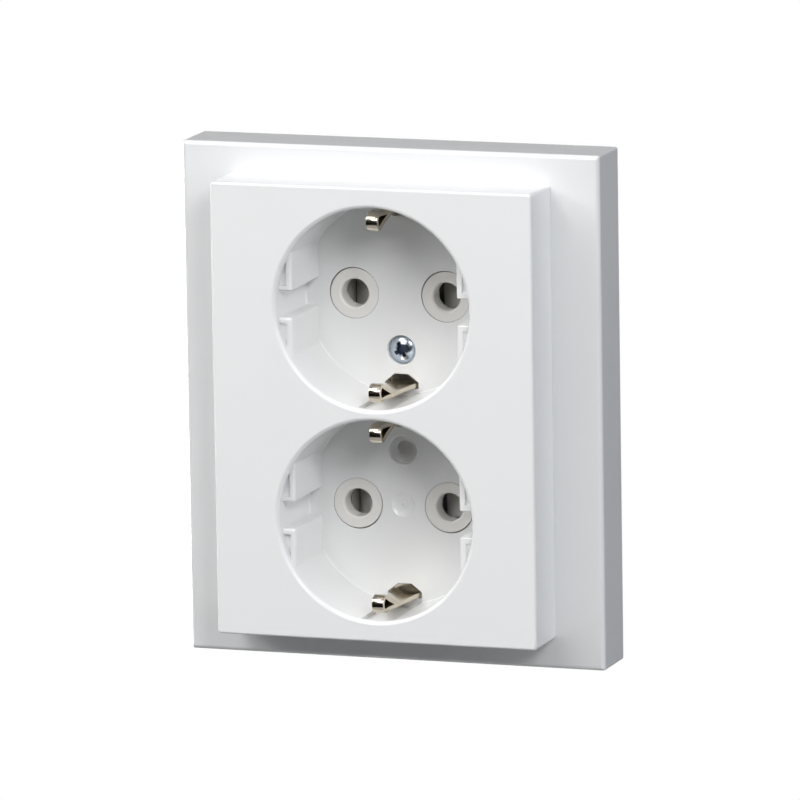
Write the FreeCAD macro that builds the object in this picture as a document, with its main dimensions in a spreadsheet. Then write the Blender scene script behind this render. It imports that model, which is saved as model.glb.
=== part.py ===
"""Twin earthed wall socket with two round wells, built as a parametric document.

Millimetres. X runs to the right, Y runs into the wall and Z runs up. The origin is the middle of the
wall plane, halfway between the two box screws. The wells open towards -Y.
"""
import FreeCAD, Part
import math
import os
import Sketcher

# Driving dimensions. Every other size is worked out from these.
SIZES = {
    # Depths, counted from the wall outwards
    "plate_thick": 1.0,
    "lid_flange": 2.7,
    "strip_thick": 0.65,
    "strip_gap": 0.15,
    "floor_thick": 2.0,
    "frame_deep": 12.0,
    "cover_rise": 12.0,
    # Outer frame
    "frame_side": 10.0,
    "frame_end": 6.0,
    "frame_wall": 2.0,
    "frame_front": 2.2,
    "frame_corner": 1.6,
    "frame_round": 0.8,
    "collar_wall": 1.6,
    "ledge_thick": 1.4,
    "screw_room": 2.1,
    # Cover and its two wells
    "cover_gap": 0.3,
    "cover_wall": 2.0,
    "cover_corner": 1.0,
    "cover_bevel": 0.4,
    "well_mouth": 40.4,
    "well_draft": 0.4,
    "well_web": 1.6,
    "well_side": 12.8,
    "well_end": 3.8,
    "well_wall": 2.2,
    "rim_bevel": 0.5,
    "guide_inset": 2.8,
    "guide_wall": 1.1,
    "guide_groove": 5.3,
    "guide_below": 1.8,
    "guide_pocket": 1.2,
    "guide_bite": 0.3,
    # Pin entries and the shutters behind them
    "pin_pitch": 19.0,
    "pin_thick": 4.8,
    "pin_clear": 0.3,
    "pin_bore": 5.6,
    "pin_lead": 0.35,
    "boss_wide": 10.0,
    "boss_gap": 0.12,
    "lid_skin": 1.2,
    "lid_wall": 1.2,
    "seat_gap": 0.2,
    "shutter_deep": 5.6,
    "shutter_play": 0.2,
    "ramp_wide": 5.5,
    "ramp_edge": 0.7,
    "rail_wide": 1.2,
    "rail_deep": 2.8,
    "post_thick": 1.2,
    "post_margin": 2.0,
    "spring_wide": 3.0,
    "spring_deep": 2.4,
    "spring_tip": 0.9,
    # Cover screw and the brass insert that it turns into
    "screw_drop": 11.0,
    "head_wide": 5.3,
    "head_tall": 1.5,
    "head_bevel": 0.5,
    "shank_wide": 2.9,
    "shank_long": 8.0,
    "sink_wide": 5.8,
    "sink_deep": 1.6,
    "screw_hole": 3.3,
    "pillar_wall": 0.9,
    "insert_wide": 5.0,
    "insert_long": 3.8,
    "thread_gap": 0.05,
    # Earth strip and its four clips
    "strip_clear": 0.3,
    "strip_middle": 12.8,
    "clip_wide": 6.4,
    "clip_tip": 2.2,
    "clip_roll": 1.85,
    "fold_angle": 25.0,
    "leg_gap": 0.2,
    "clip_lean": 0.1,
    "clip_back": 1.5,
    "clip_below": 0.9,
    "clip_slot": 2.6,
    "slot_tip": 2.8,
    "slot_clear": 0.3,
    "channel_below": 1.2,
    "channel_cut": 0.8,
    "relief_deep": 4.0,
    # Live and neutral contacts
    "leaf_thick": 0.5,
    "leaf_wide": 5.0,
    "leaf_neck": 4.5,
    "leaf_mouth": 5.6,
    "leaf_root": 5.2,
    "leaf_start": 0.5,
    "neck_place": 4.0,
    "contact_deep": 11.5,
    "contact_thick": 0.7,
    "pocket_gap": 0.2,
    # Push-in terminals and their release levers
    "bar_tab": 0.8,
    "bar_rise": 8.7,
    "bar_half": 6.4,
    "wire_window": 4.4,
    "window_inner": 2.0,
    "window_start": 0.2,
    "loop_place": 6.7,
    "loop_radius": 2.0,
    "loop_gap": 0.5,
    "leaf_angle": 26.6,
    "sheet_thick": 0.4,
    "sheet_gap": 0.1,
    "lever_start": 1.4,
    "lever_wide": 2.8,
    "lever_thick": 1.6,
    "lever_gap": 0.2,
    "lever_out": 2.2,
    "lever_lip": 0.9,
    "nose_gap": 0.6,
    # Base behind the wall plane
    "base_deep": 21.0,
    "base_wall": 1.5,
    "base_side": 1.3,
    "back_wall": 1.5,
    "base_bevel": 1.0,
    "fix_drop": 4.6,
    "fix_inset": 4.7,
    "fix_head": 5.0,
    "fix_tall": 1.3,
    "fix_shank": 2.5,
    "fix_long": 13.0,
    "fix_gap": 0.15,
    # Support plate and its holes
    "box_spacing": 60.0,
    "plate_gap": 3.0,
    "plate_rim": 4.3,
    "plate_corner": 3.0,
    "box_slot": 4.2,
    "slot_long": 7.0,
    "wall_hole": 3.5,
    "hole_inset": 5.0,
    "flange_lap": 1.0,
}

doc = FreeCAD.newDocument("twin_socket")
sheet = doc.addObject("Spreadsheet::Sheet", "sizes")
for row, (name, number) in enumerate(SIZES.items(), start=1):
    sheet.set(f"A{row}", str(number))
    sheet.setAlias(f"A{row}", name)
doc.recompute()


class Formula:
    """A size worked out from the sheet: the expression that binds it, and its value at the moment."""

    def __init__(self, text, value):
        self.text = text
        self.value = value

    def __add__(self, other):
        other = formula(other)
        return Formula(f"({self.text} + {other.text})", self.value + other.value)

    def __sub__(self, other):
        other = formula(other)
        return Formula(f"({self.text} - {other.text})", self.value - other.value)

    def __mul__(self, other):
        other = formula(other)
        return Formula(f"({self.text} * {other.text})", self.value * other.value)

    def __truediv__(self, other):
        other = formula(other)
        return Formula(f"({self.text} / {other.text})", self.value / other.value)

    def __neg__(self):
        return Formula(f"(0 - {self.text})", -self.value)

    def __radd__(self, other):
        return formula(other) + self

    def __rsub__(self, other):
        return formula(other) - self

    def __rmul__(self, other):
        return formula(other) * self


def formula(amount):
    """Let a plain number stand in a formula."""
    if isinstance(amount, Formula):
        return amount
    return Formula(repr(amount), amount)


def root(amount):
    return Formula(f"sqrt({amount.text})", math.sqrt(amount.value))


def sine(angle):
    return Formula(f"sin({angle.text} * 1 deg)", math.sin(math.radians(angle.value)))


def cosine(angle):
    return Formula(f"cos({angle.text} * 1 deg)", math.cos(math.radians(angle.value)))


class Driving:
    """The sheet's cells, each read as a formula by its alias."""


size = Driving()
for name in SIZES:
    setattr(size, name, Formula(f"sizes.{name}", float(sheet.get(name))))


def bind(thing, field, amount):
    thing.setExpression(field, formula(amount).text)


# Sketch planes, and what their two directions and their normal are in the model:
# XZ_Plane has X and Z with the normal towards -Y, YZ_Plane has Y and Z with the normal towards +X,
# and XY_Plane has X and Y with the normal towards +Z.
def sketch_on(body, name, role, offset):
    sketch = body.newObject("Sketcher::SketchObject", name)
    plane = [item for item in body.Origin.OriginFeatures if item.Role == role][0]
    sketch.AttachmentSupport = [(plane, "")]
    sketch.MapMode = "FlatFace"
    bind(sketch, "AttachmentOffset.Base.z", offset)
    return sketch


def pin_point(sketch, geometry, end, x, y):
    """Fix one point of a sketch at the place that two formulas give."""
    for kind, axis, amount in (("DistanceX", -2, formula(x)), ("DistanceY", -1, formula(y))):
        if amount.text == "0":
            sketch.addConstraint(Sketcher.Constraint("PointOnObject", geometry, end, axis))
        else:
            index = sketch.addConstraint(Sketcher.Constraint(kind, -1, 1, geometry, end, amount.value))
            bind(sketch, f"Constraints[{index}]", amount)


def draw(sketch, points):
    """Draw one closed outline.

    A point is (x, y), reached by a straight line, or (x, y, radius, turn), reached by an arc that
    turns left (1) or right (-1). The first point says how the last one is joined to it.
    """
    ends = []
    for here, there in zip(points, points[1:] + points[:1]):
        start = FreeCAD.Vector(formula(here[0]).value, formula(here[1]).value, 0)
        stop = FreeCAD.Vector(formula(there[0]).value, formula(there[1]).value, 0)
        if len(there) == 2:
            index = sketch.addGeometry(Part.LineSegment(start, stop))
            ends.append((index, 1, 2))
            continue
        radius, turn = formula(there[2]), there[3]
        half = (stop - start) / 2
        left = FreeCAD.Vector(-half.y, half.x, 0).normalize()
        rise = math.sqrt(max(radius.value ** 2 - half.Length ** 2, 0.0))
        centre = start + half + left * (rise * turn)
        first, last = (start, stop) if turn > 0 else (stop, start)
        begin = math.atan2(first.y - centre.y, first.x - centre.x)
        finish = math.atan2(last.y - centre.y, last.x - centre.x)
        circle = Part.Circle(centre, FreeCAD.Vector(0, 0, 1), radius.value)
        index = sketch.addGeometry(Part.ArcOfCircle(circle, begin, finish))
        ends.append((index, 1, 2) if turn > 0 else (index, 2, 1))
        limit = sketch.addConstraint(Sketcher.Constraint("Radius", index, radius.value))
        bind(sketch, f"Constraints[{limit}]", radius)
    for (index, begin, finish), (after, opening, closing) in zip(ends, ends[1:] + ends[:1]):
        sketch.addConstraint(Sketcher.Constraint("Coincident", index, finish, after, opening))
    for (index, begin, finish), point in zip(ends, points):
        pin_point(sketch, index, begin, point[0], point[1])


def draw_circle(sketch, x, y, radius):
    centre = FreeCAD.Vector(formula(x).value, formula(y).value, 0)
    index = sketch.addGeometry(Part.Circle(centre, FreeCAD.Vector(0, 0, 1), formula(radius).value))
    pin_point(sketch, index, 3, x, y)
    limit = sketch.addConstraint(Sketcher.Constraint("Radius", index, formula(radius).value))
    bind(sketch, f"Constraints[{limit}]", radius)


def new_body(label):
    body = doc.addObject("PartDesign::Body", label)
    body.Label = label
    return body


def shapes_on(sketch, outlines, circles):
    for points in outlines:
        draw(sketch, points)
    for x, y, radius in circles:
        draw_circle(sketch, x, y, radius)


def add(body, name, role, low, high, outlines=(), circles=()):
    """Pad outlines from low to high along the plane's normal direction in the model."""
    back = role == "XZ_Plane"
    sketch = sketch_on(body, f"{body.Label}_{name}_sketch", role, -high if back else low)
    shapes_on(sketch, outlines, circles)
    pad = body.newObject("PartDesign::Pad", f"{body.Label}_{name}")
    pad.Profile = sketch
    bind(pad, "Length", high - low)
    doc.recompute()
    return pad


def cut(body, name, role, low, high, outlines=(), circles=()):
    """Pocket outlines from low to high along the model axis across the plane."""
    before = body.Shape.Volume
    front = role == "XZ_Plane"
    sketch = sketch_on(body, f"{body.Label}_{name}_sketch", role, -low if front else high)
    shapes_on(sketch, outlines, circles)
    pocket = body.newObject("PartDesign::Pocket", f"{body.Label}_{name}")
    pocket.Profile = sketch
    bind(pocket, "Length", high - low)
    doc.recompute()
    if not body.Shape.Volume < before - 1e-6:
        raise RuntimeError(f"{pocket.Name} removes nothing")
    return pocket


def turned(body, name, kind, points, axis_height):
    """Revolve an outline in the YZ plane about a line along Y at the given height."""
    sketch = sketch_on(body, f"{body.Label}_{name}_sketch", "YZ_Plane", 0)
    draw(sketch, points)
    reach = FreeCAD.Vector(1, 0, 0)
    height = FreeCAD.Vector(0, formula(axis_height).value, 0)
    line = sketch.addGeometry(Part.LineSegment(height, height + reach), True)
    pin_point(sketch, line, 1, 0, axis_height)
    pin_point(sketch, line, 2, 1.0, axis_height)
    feature = body.newObject(f"PartDesign::{kind}", f"{body.Label}_{name}")
    feature.Profile = sketch
    feature.ReferenceAxis = (sketch, ["Axis0"])
    feature.Angle = 360
    doc.recompute()
    return feature


def dress(body, name, kind, field, amount, chosen):
    """Fillet or chamfer the edges that a test picks out by their shape and place."""
    base = body.Tip
    edges = [f"Edge{index}" for index, edge in enumerate(base.Shape.Edges, 1) if chosen(edge)]
    feature = body.newObject(f"PartDesign::{kind}", f"{body.Label}_{name}")
    feature.Base = (base, edges)
    bind(feature, field, amount)
    doc.recompute()
    return feature


def outer_edge_at(place, half_x, half_z):
    """Pick the edges of an outline that lie at one depth and on its outer boundary."""
    def chosen(edge):
        box = edge.BoundBox
        level = abs(box.YMin - place.value) < 1e-6 and abs(box.YMax - place.value) < 1e-6
        reach_x = max(abs(box.XMin), abs(box.XMax)) > half_x.value - 1e-3
        reach_z = max(abs(box.ZMin), abs(box.ZMax)) > half_z.value - 1e-3
        return level and (reach_x or reach_z)
    return chosen


def rectangle(left, low, right, top):
    return [(left, low), (right, low), (right, top), (left, top)]


def panel(half_x, half_z, corner):
    """A rectangle with round corners."""
    flat_x, flat_z = half_x - corner, half_z - corner
    return [
        (-flat_x, -half_z, corner, 1), (flat_x, -half_z),
        (half_x, -flat_z, corner, 1), (half_x, flat_z),
        (flat_x, half_z, corner, 1), (-flat_x, half_z),
        (-half_x, flat_z, corner, 1), (-half_x, -flat_z),
    ]


def barrel(radius, half_x):
    """A circle with two flat sides."""
    half_z = root(radius * radius - half_x * half_x)
    return [
        (half_x, -half_z, radius, 1), (half_x, half_z),
        (-half_x, half_z, radius, 1), (-half_x, -half_z),
    ]


# Depths: y_... are places along Y
y_face = -(size.frame_deep + size.cover_rise)
y_frame = -size.frame_deep
y_plate = -size.plate_thick
y_lid = y_plate - size.lid_flange
y_strip = y_lid - size.strip_thick
y_floor_back = y_strip - size.strip_gap
y_floor = y_floor_back - size.floor_thick
y_ledge_back = y_plate - size.screw_room
y_ledge = y_ledge_back - size.ledge_thick
y_roof = y_lid + size.lid_skin
y_shutter = y_roof + size.shutter_play
y_shutter_back = y_shutter + size.shutter_deep
y_deck = y_shutter_back + size.shutter_play
y_bar = y_deck + size.contact_deep
y_bar_back = y_bar + size.contact_thick
y_back = size.base_deep
y_chamber = y_back - size.back_wall

# Places across the face
mouth_r = size.well_mouth / 2
floor_r = mouth_r - size.well_draft
well_z = (size.well_mouth + size.well_web) / 2
cover_x = mouth_r + size.well_side
cover_z = well_z + mouth_r + size.well_end
frame_x = cover_x + size.frame_side
frame_z = cover_z + size.frame_end
opening_x = cover_x + size.cover_gap
opening_z = cover_z + size.cover_gap
pin_x = size.pin_pitch / 2
screw_z = well_z - size.screw_drop

# Shutters
ramp_half = size.ramp_wide / 2
window_x = pin_x - ramp_half
window_z = size.pin_thick / 2 + size.pin_clear
shutter_z = window_z + size.rail_wide
travel = ramp_half + size.pin_thick / 2 + size.pin_clear
end_r = size.pin_bore / 2 + size.shutter_play
end_x = pin_x + ramp_half - end_r
post_x = window_x - size.post_margin - size.post_thick

# Terminals: bar_x is where a busbar's clamping face is
pocket_half = size.leaf_mouth / 2 + size.leaf_thick + size.pocket_gap
bar_x = pin_x + size.leaf_root / 2 + size.leaf_thick + size.bar_tab
chamber_u = size.loop_place + size.loop_radius + size.sheet_gap
chamber_z = size.bar_half + size.pocket_gap * 2
earth_x = -(chamber_u - size.contact_thick - size.pocket_gap) / 2

# Outlines of the inner block, from the shutters outwards
reach_r = root((end_x + travel) * (end_x + travel) + well_z * well_z) + end_r + size.shutter_play
block_r = reach_r + size.lid_wall
recess_r = block_r + size.seat_gap
base_r = recess_r + size.base_wall
recess_x = bar_x + chamber_u
block_x = recess_x - size.seat_gap
base_x = recess_x + size.base_side
flange_r = base_r + size.flange_lap
flange_x = base_x + size.flange_lap
fix_x = recess_x - size.fix_inset
fix_z = size.bar_half + size.fix_drop

UPPER_LOWER = (("upper", 1), ("lower", -1))
BOTH_SIDES = (1, -1)
SPRING_FOLDS = 8
NODES = []


def make_frame():
    """Outer frame: a shallow tray with a collar and an inward ledge that the cover presses on."""
    body = new_body("frame")
    add(body, "block", "XZ_Plane", y_frame, formula(0), [panel(frame_x, frame_z, size.frame_corner)])
    dress(body, "front_round", "Fillet", "Radius", size.frame_round, outer_edge_at(y_frame, frame_x, frame_z))
    inner_x, inner_z = frame_x - size.frame_wall, frame_z - size.frame_wall
    y_inside = y_frame + size.frame_front
    cut(body, "hollow", "XZ_Plane", y_inside, formula(0), [rectangle(-inner_x, -inner_z, inner_x, inner_z)])
    collar_x, collar_z = opening_x + size.collar_wall, opening_z + size.collar_wall
    collar = rectangle(-collar_x, -collar_z, collar_x, collar_z)
    add(body, "collar", "XZ_Plane", y_inside, y_ledge_back, [collar])
    opening = panel(opening_x, opening_z, size.cover_corner + size.cover_gap)
    cut(body, "opening", "XZ_Plane", y_frame, y_ledge, [opening])
    ledge_x, ledge_z = cover_x - size.cover_wall, cover_z - size.cover_wall
    ledge_opening = rectangle(-ledge_x, -ledge_z, ledge_x, ledge_z)
    cut(body, "ledge_opening", "XZ_Plane", y_ledge, y_ledge_back, [ledge_opening])
    NODES.append(body)


def well_outline(middle):
    """Half section of one well: floor, drafted wall and bevelled rim."""
    rim = size.rim_bevel
    return [
        (y_face, middle),
        (y_floor, middle),
        (y_floor, middle + floor_r),
        (y_face + rim, middle + mouth_r),
        (y_face, middle + mouth_r + rim),
    ]


def guide_outlines(middle, across, up):
    """One guide block at the side of a well and the pocket behind its flat face."""
    chord = floor_r - size.guide_inset
    top = root(mouth_r * mouth_r - chord * chord) + size.guide_bite
    groove = size.guide_groove / 2
    outside = mouth_r + size.well_wall / 2
    block = [
        (across * chord, middle + up * groove), (across * outside, middle + up * groove),
        (across * outside, middle + up * top), (across * chord, middle + up * top),
    ]
    inside = chord + size.guide_wall
    low = groove + size.guide_wall
    wall_x = root(mouth_r * mouth_r - low * low)
    high = root(mouth_r * mouth_r - inside * inside)
    pocket = [
        (across * inside, middle + up * low),
        (across * wall_x, middle + up * low),
        (across * inside, middle + up * high, mouth_r, across * up),
    ]
    return block, pocket


def slot_outline(middle, up):
    """Floor slot that one earth clip comes through, and the flat channel behind the clip."""
    near = floor_r - size.clip_back - size.clip_slot
    far = floor_r - size.clip_back + size.slot_clear
    narrow = size.slot_tip / 2
    wide = size.clip_wide / 2 + size.slot_clear
    shoulder = floor_r - size.clip_back - size.strip_thick - size.slot_clear
    slot = [
        (-narrow, middle + up * near), (narrow, middle + up * near), (wide, middle + up * shoulder),
        (wide, middle + up * far), (-wide, middle + up * far), (-wide, middle + up * shoulder),
    ]
    channel = rectangle(-wide, middle + up * far, wide, middle + up * (floor_r + size.channel_cut))
    return slot, channel


def make_cover():
    """Cover: one moulding with a skirt, two wells, guide blocks, clip slots and screw seats."""
    body = new_body("cover")
    add(body, "block", "XZ_Plane", y_face, y_ledge, [panel(cover_x, cover_z, size.cover_corner)])
    dress(body, "front_bevel", "Chamfer", "Size", size.cover_bevel, outer_edge_at(y_face, cover_x, cover_z))
    inner_x, inner_z = cover_x - size.cover_wall, cover_z - size.cover_wall
    y_inside = y_face + size.cover_wall
    cut(body, "hollow", "XZ_Plane", y_inside, y_ledge, [rectangle(-inner_x, -inner_z, inner_x, inner_z)])
    tube_r = mouth_r + size.well_wall
    for name, up in UPPER_LOWER:
        add(body, f"{name}_tube", "XZ_Plane", y_inside, y_floor_back, circles=[(0, up * well_z, tube_r)])
    pillar_r = size.sink_wide / 2 + size.pillar_wall
    pillars = [(0, up * screw_z, pillar_r) for name, up in UPPER_LOWER]
    add(body, "pillars", "XZ_Plane", y_floor, y_lid, circles=pillars)
    for name, up in UPPER_LOWER:
        turned(body, f"{name}_well", "Groove", well_outline(up * well_z), up * well_z)
    guides = [
        guide_outlines(up * well_z, across, above)
        for name, up in UPPER_LOWER for across in BOTH_SIDES for above in BOTH_SIDES
    ]
    y_guide = y_face + size.guide_below
    add(body, "guides", "XZ_Plane", y_guide, y_floor, [block for block, pocket in guides])
    y_pocket = y_guide + size.guide_pocket
    cut(body, "guide_pockets", "XZ_Plane", y_guide, y_pocket, [pocket for block, pocket in guides])
    slots = [slot_outline(up * well_z, above) for name, up in UPPER_LOWER for above in BOTH_SIDES]
    cut(body, "clip_slots", "XZ_Plane", y_floor, y_floor_back, [slot for slot, channel in slots])
    y_channel = y_face + size.channel_below
    cut(body, "clip_channels", "XZ_Plane", y_channel, y_floor, [channel for slot, channel in slots])
    hole_r = size.boss_wide / 2 + size.boss_gap
    holes = [(across * pin_x, up * well_z, hole_r) for name, up in UPPER_LOWER for across in BOTH_SIDES]
    cut(body, "boss_holes", "XZ_Plane", y_floor, y_floor_back, circles=holes)
    sinks = [(0, up * screw_z, size.sink_wide / 2) for name, up in UPPER_LOWER]
    cut(body, "screw_seats", "XZ_Plane", y_floor, y_floor + size.sink_deep, circles=sinks)
    bores = [(0, up * screw_z, size.screw_hole / 2) for name, up in UPPER_LOWER]
    cut(body, "screw_holes", "XZ_Plane", y_floor, y_lid, circles=bores)
    NODES.append(body)


def make_screw(label, seat, head_r, head_tall, shank_r, shank_end):
    """A screw turned about its own axis: bevelled head, shank and a pointed end."""
    body = new_body(label)
    outline = [
        (seat - head_tall, 0),
        (seat - head_tall, head_r - size.head_bevel),
        (seat - head_tall + size.head_bevel, head_r),
        (seat, head_r),
        (seat, shank_r),
        (shank_end - shank_r, shank_r),
        (shank_end, 0),
    ]
    turned(body, "form", "Revolution", outline, 0)
    return body


def make_cover_screw():
    seat = y_floor + size.sink_deep
    end = seat + size.shank_long
    body = make_screw("cover_screw", seat, size.head_wide / 2, size.head_tall, size.shank_wide / 2, end)
    bind(body, "Placement.Base.z", screw_z)
    NODES.append(body)


def make_insert():
    """Brass insert that sits in the lid from behind and takes the cover screw."""
    body = new_body("screw_insert")
    bore = size.shank_wide / 2 + size.thread_gap
    circles = [(0, screw_z, size.insert_wide / 2), (0, screw_z, bore)]
    add(body, "ring", "XZ_Plane", y_deck - size.insert_long, y_deck, circles=circles)
    NODES.append(body)


def make_support_plate():
    """Stamped support plate with slots for the box screws and corner holes for wall screws."""
    body = new_body("support_plate")
    half_x = frame_x - size.frame_wall - size.plate_gap
    half_z = base_r + size.plate_rim
    opening = barrel(recess_r + size.seat_gap, recess_x + size.seat_gap)
    outline = panel(half_x, half_z, size.plate_corner)
    add(body, "blank", "XZ_Plane", y_plate, formula(0), [outline, opening])
    slot_r = size.box_slot / 2
    straight = size.slot_long / 2 - slot_r
    slots = []
    for across in BOTH_SIDES:
        middle = across * size.box_spacing / 2
        slots.append([
            (middle - straight, -slot_r, slot_r, 1), (middle + straight, -slot_r),
            (middle + straight + slot_r, 0, slot_r, 1),
            (middle + straight, slot_r, slot_r, 1), (middle - straight, slot_r),
            (middle - straight - slot_r, 0, slot_r, 1),
        ])
    cut(body, "box_slots", "XZ_Plane", y_plate, formula(0), slots)
    hole_x, hole_z = half_x - size.hole_inset, half_z - size.hole_inset
    holes = [(a * hole_x, b * hole_z, size.wall_hole / 2) for a in BOTH_SIDES for b in BOTH_SIDES]
    cut(body, "wall_holes", "XZ_Plane", y_plate, formula(0), circles=holes)
    NODES.append(body)


def shutter_plan(middle, grow, stretch):
    """Plan of a shutter, or of its channel when it is grown by the play and stretched by the travel."""
    left = -(pin_x + ramp_half) - grow
    half = shutter_z + grow
    tip = end_r + grow
    shoulder = window_x + grow + stretch
    centre = end_x + stretch
    return [
        (left, middle - half), (shoulder, middle - half), (centre, middle - tip),
        (centre + tip, middle, tip, 1), (centre, middle + tip, tip, 1),
        (shoulder, middle + half), (left, middle + half),
    ]


def make_lid():
    """Contact lid: clamps to the plate, carries the four pin bosses and holds the two shutters."""
    body = new_body("contact_lid")
    add(body, "flange", "XZ_Plane", y_lid, y_plate, [barrel(flange_r, flange_x)])
    add(body, "block", "XZ_Plane", y_plate, y_deck, [barrel(block_r, block_x)])
    places = [(across * pin_x, up * well_z) for name, up in UPPER_LOWER for across in BOTH_SIDES]
    add(body, "bosses", "XZ_Plane", y_floor, y_lid, circles=[(x, z, size.boss_wide / 2) for x, z in places])
    channels = []
    for name, up in UPPER_LOWER:
        channels.append(shutter_plan(up * well_z, size.shutter_play, travel))
        low, high = up * well_z - size.spring_wide / 2, up * well_z + size.spring_wide / 2
        channels.append(rectangle(post_x, low, post_x + size.post_thick, high))
    cut(body, "channels", "XZ_Plane", y_roof, y_deck, channels)
    bores = [(x, z, size.pin_bore / 2) for x, z in places]
    cut(body, "pin_bores", "XZ_Plane", y_floor, y_roof, circles=bores)
    mouth = size.pin_bore / 2

    def bore_mouth(edge):
        round_edge = edge.Curve.TypeId == "Part::GeomCircle" and abs(edge.Curve.Radius - mouth.value) < 1e-6
        return round_edge and abs(edge.BoundBox.YMin - y_floor.value) < 1e-6

    dress(body, "pin_leads", "Chamfer", "Size", size.pin_lead, bore_mouth)
    gap = size.pocket_gap
    tab_z = size.bar_half + gap
    slot = rectangle(earth_x - size.contact_thick - gap, -tab_z, earth_x + gap, tab_z)
    cut(body, "earth_slot", "XZ_Plane", y_lid, y_deck, [slot])
    relief_x = size.clip_wide / 2 - size.slot_clear
    near = well_z - floor_r + size.clip_back - size.slot_clear
    far = near + size.clip_slot
    reliefs = [rectangle(-relief_x, up * near, relief_x, up * far) for name, up in UPPER_LOWER]
    cut(body, "clip_reliefs", "XZ_Plane", y_lid, y_lid + size.relief_deep, reliefs)
    cut(body, "screw_hole", "XZ_Plane", y_lid, y_deck, circles=[(0, screw_z, size.screw_hole / 2)])
    insert_r = size.insert_wide / 2 + size.thread_gap
    cut(body, "insert_seat", "XZ_Plane", y_deck - size.insert_long, y_deck, circles=[(0, screw_z, insert_r)])
    fix_places = [(across * fix_x, across * fix_z) for across in BOTH_SIDES]
    sinks = [(x, z, size.fix_head / 2 + size.fix_gap) for x, z in fix_places]
    cut(body, "fix_seats", "XZ_Plane", y_lid, y_lid + size.fix_tall + size.fix_gap, circles=sinks)
    holes = [(x, z, size.fix_shank / 2 + size.fix_gap) for x, z in fix_places]
    cut(body, "fix_holes", "XZ_Plane", y_lid, y_deck, circles=holes)
    NODES.append(body)


def make_shutter(name, up):
    """Shutter: two ramps on two rails, with a window between them for the spring and the pins."""
    body = new_body(f"shutter_{name}")
    middle = up * well_z
    add(body, "blank", "XZ_Plane", y_shutter, y_shutter_back, [shutter_plan(middle, formula(0), formula(0))])
    window = rectangle(-window_x, middle - window_z, window_x, middle + window_z)
    cut(body, "window", "XZ_Plane", y_shutter, y_shutter_back, [window])
    edge = y_shutter_back - size.ramp_edge
    rail = y_shutter_back - size.rail_deep
    far = pin_x + ramp_half
    above_rails = rectangle(-window_x, y_shutter, window_x, rail)
    left_ramp = [(-far, y_shutter), (-window_x, y_shutter), (-far, edge)]
    right_ramp = [(window_x, y_shutter), (far, y_shutter), (window_x, rail)]
    low, high = middle - shutter_z, middle + shutter_z
    cut(body, "rail_step", "XY_Plane", low, high, [above_rails])
    cut(body, "left_slope", "XY_Plane", low, high, [left_ramp])
    cut(body, "right_slope", "XY_Plane", low, high, [right_ramp])
    NODES.append(body)


def make_shutter_spring(name, up):
    """Folded leaf spring that pushes the left ramp away from the lid's post."""
    body = new_body(f"shutter_spring_{name}")
    start = -window_x + size.shutter_play / 2
    free = post_x - start - size.shutter_play / 2
    low = up * well_z - size.spring_wide / 2
    swing = size.spring_wide - size.spring_tip
    fold = [
        (start + free * step / SPRING_FOLDS, low + swing * (step % 2))
        for step in range(SPRING_FOLDS + 1)
    ]
    other_side = [(x, z + size.spring_tip) for x, z in reversed(fold)]
    back = y_shutter_back
    add(body, "leaf", "XZ_Plane", back - size.spring_deep, back, [fold + other_side])
    NODES.append(body)


def clip_body(label, up):
    """One earth clip of the upper well: a leaning arm that rolls over and folds back towards itself.

    up is 1 for the clip above the well's middle and -1 for the one below it.
    """
    body = new_body(label)
    sheet_t = size.strip_thick
    roll = size.clip_roll
    foot = floor_r - size.clip_back
    side = foot - size.clip_lean
    centre_w = side - roll
    centre_y = y_face + size.clip_below + roll
    inner = roll - sheet_t
    curl = 180 + size.fold_angle
    half_way = curl / 2
    leg = (inner * (1 - cosine(curl)) - size.leg_gap) / -sine(curl)

    def at(distance, y):
        return (y, well_z + up * distance)

    def on_roll(radius, angle):
        return at(centre_w + radius * cosine(angle), centre_y - radius * sine(angle))

    def leg_end(radius):
        across = radius * cosine(curl) - leg * sine(curl)
        along = radius * sine(curl) + leg * cosine(curl)
        return at(centre_w + across, centre_y - along)

    outline = [
        at(foot, y_lid),
        at(side, centre_y),
        on_roll(roll, half_way) + (roll, up),
        on_roll(roll, curl) + (roll, up),
        leg_end(roll),
        leg_end(inner),
        on_roll(inner, curl),
        on_roll(inner, half_way) + (inner, -up),
        at(side - sheet_t, centre_y) + (inner, -up),
        at(foot - sheet_t, y_lid),
    ]
    wide = size.clip_wide / 2
    tip = size.clip_tip / 2
    add(body, "arm", "YZ_Plane", -wide, wide, [outline])
    tapered = y_face + size.clip_below + 2 * roll
    low, high = well_z + up * foot - 3 * roll, well_z + up * foot + 3 * roll
    sides = [
        [(across * tip, y_face), (across * 2 * wide, y_face), (across * 2 * wide, y_floor),
         (across * wide, y_floor), (across * tip, tapered)]
        for across in BOTH_SIDES
    ]
    cut(body, "taper", "XY_Plane", low, high, sides)
    return body


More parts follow.
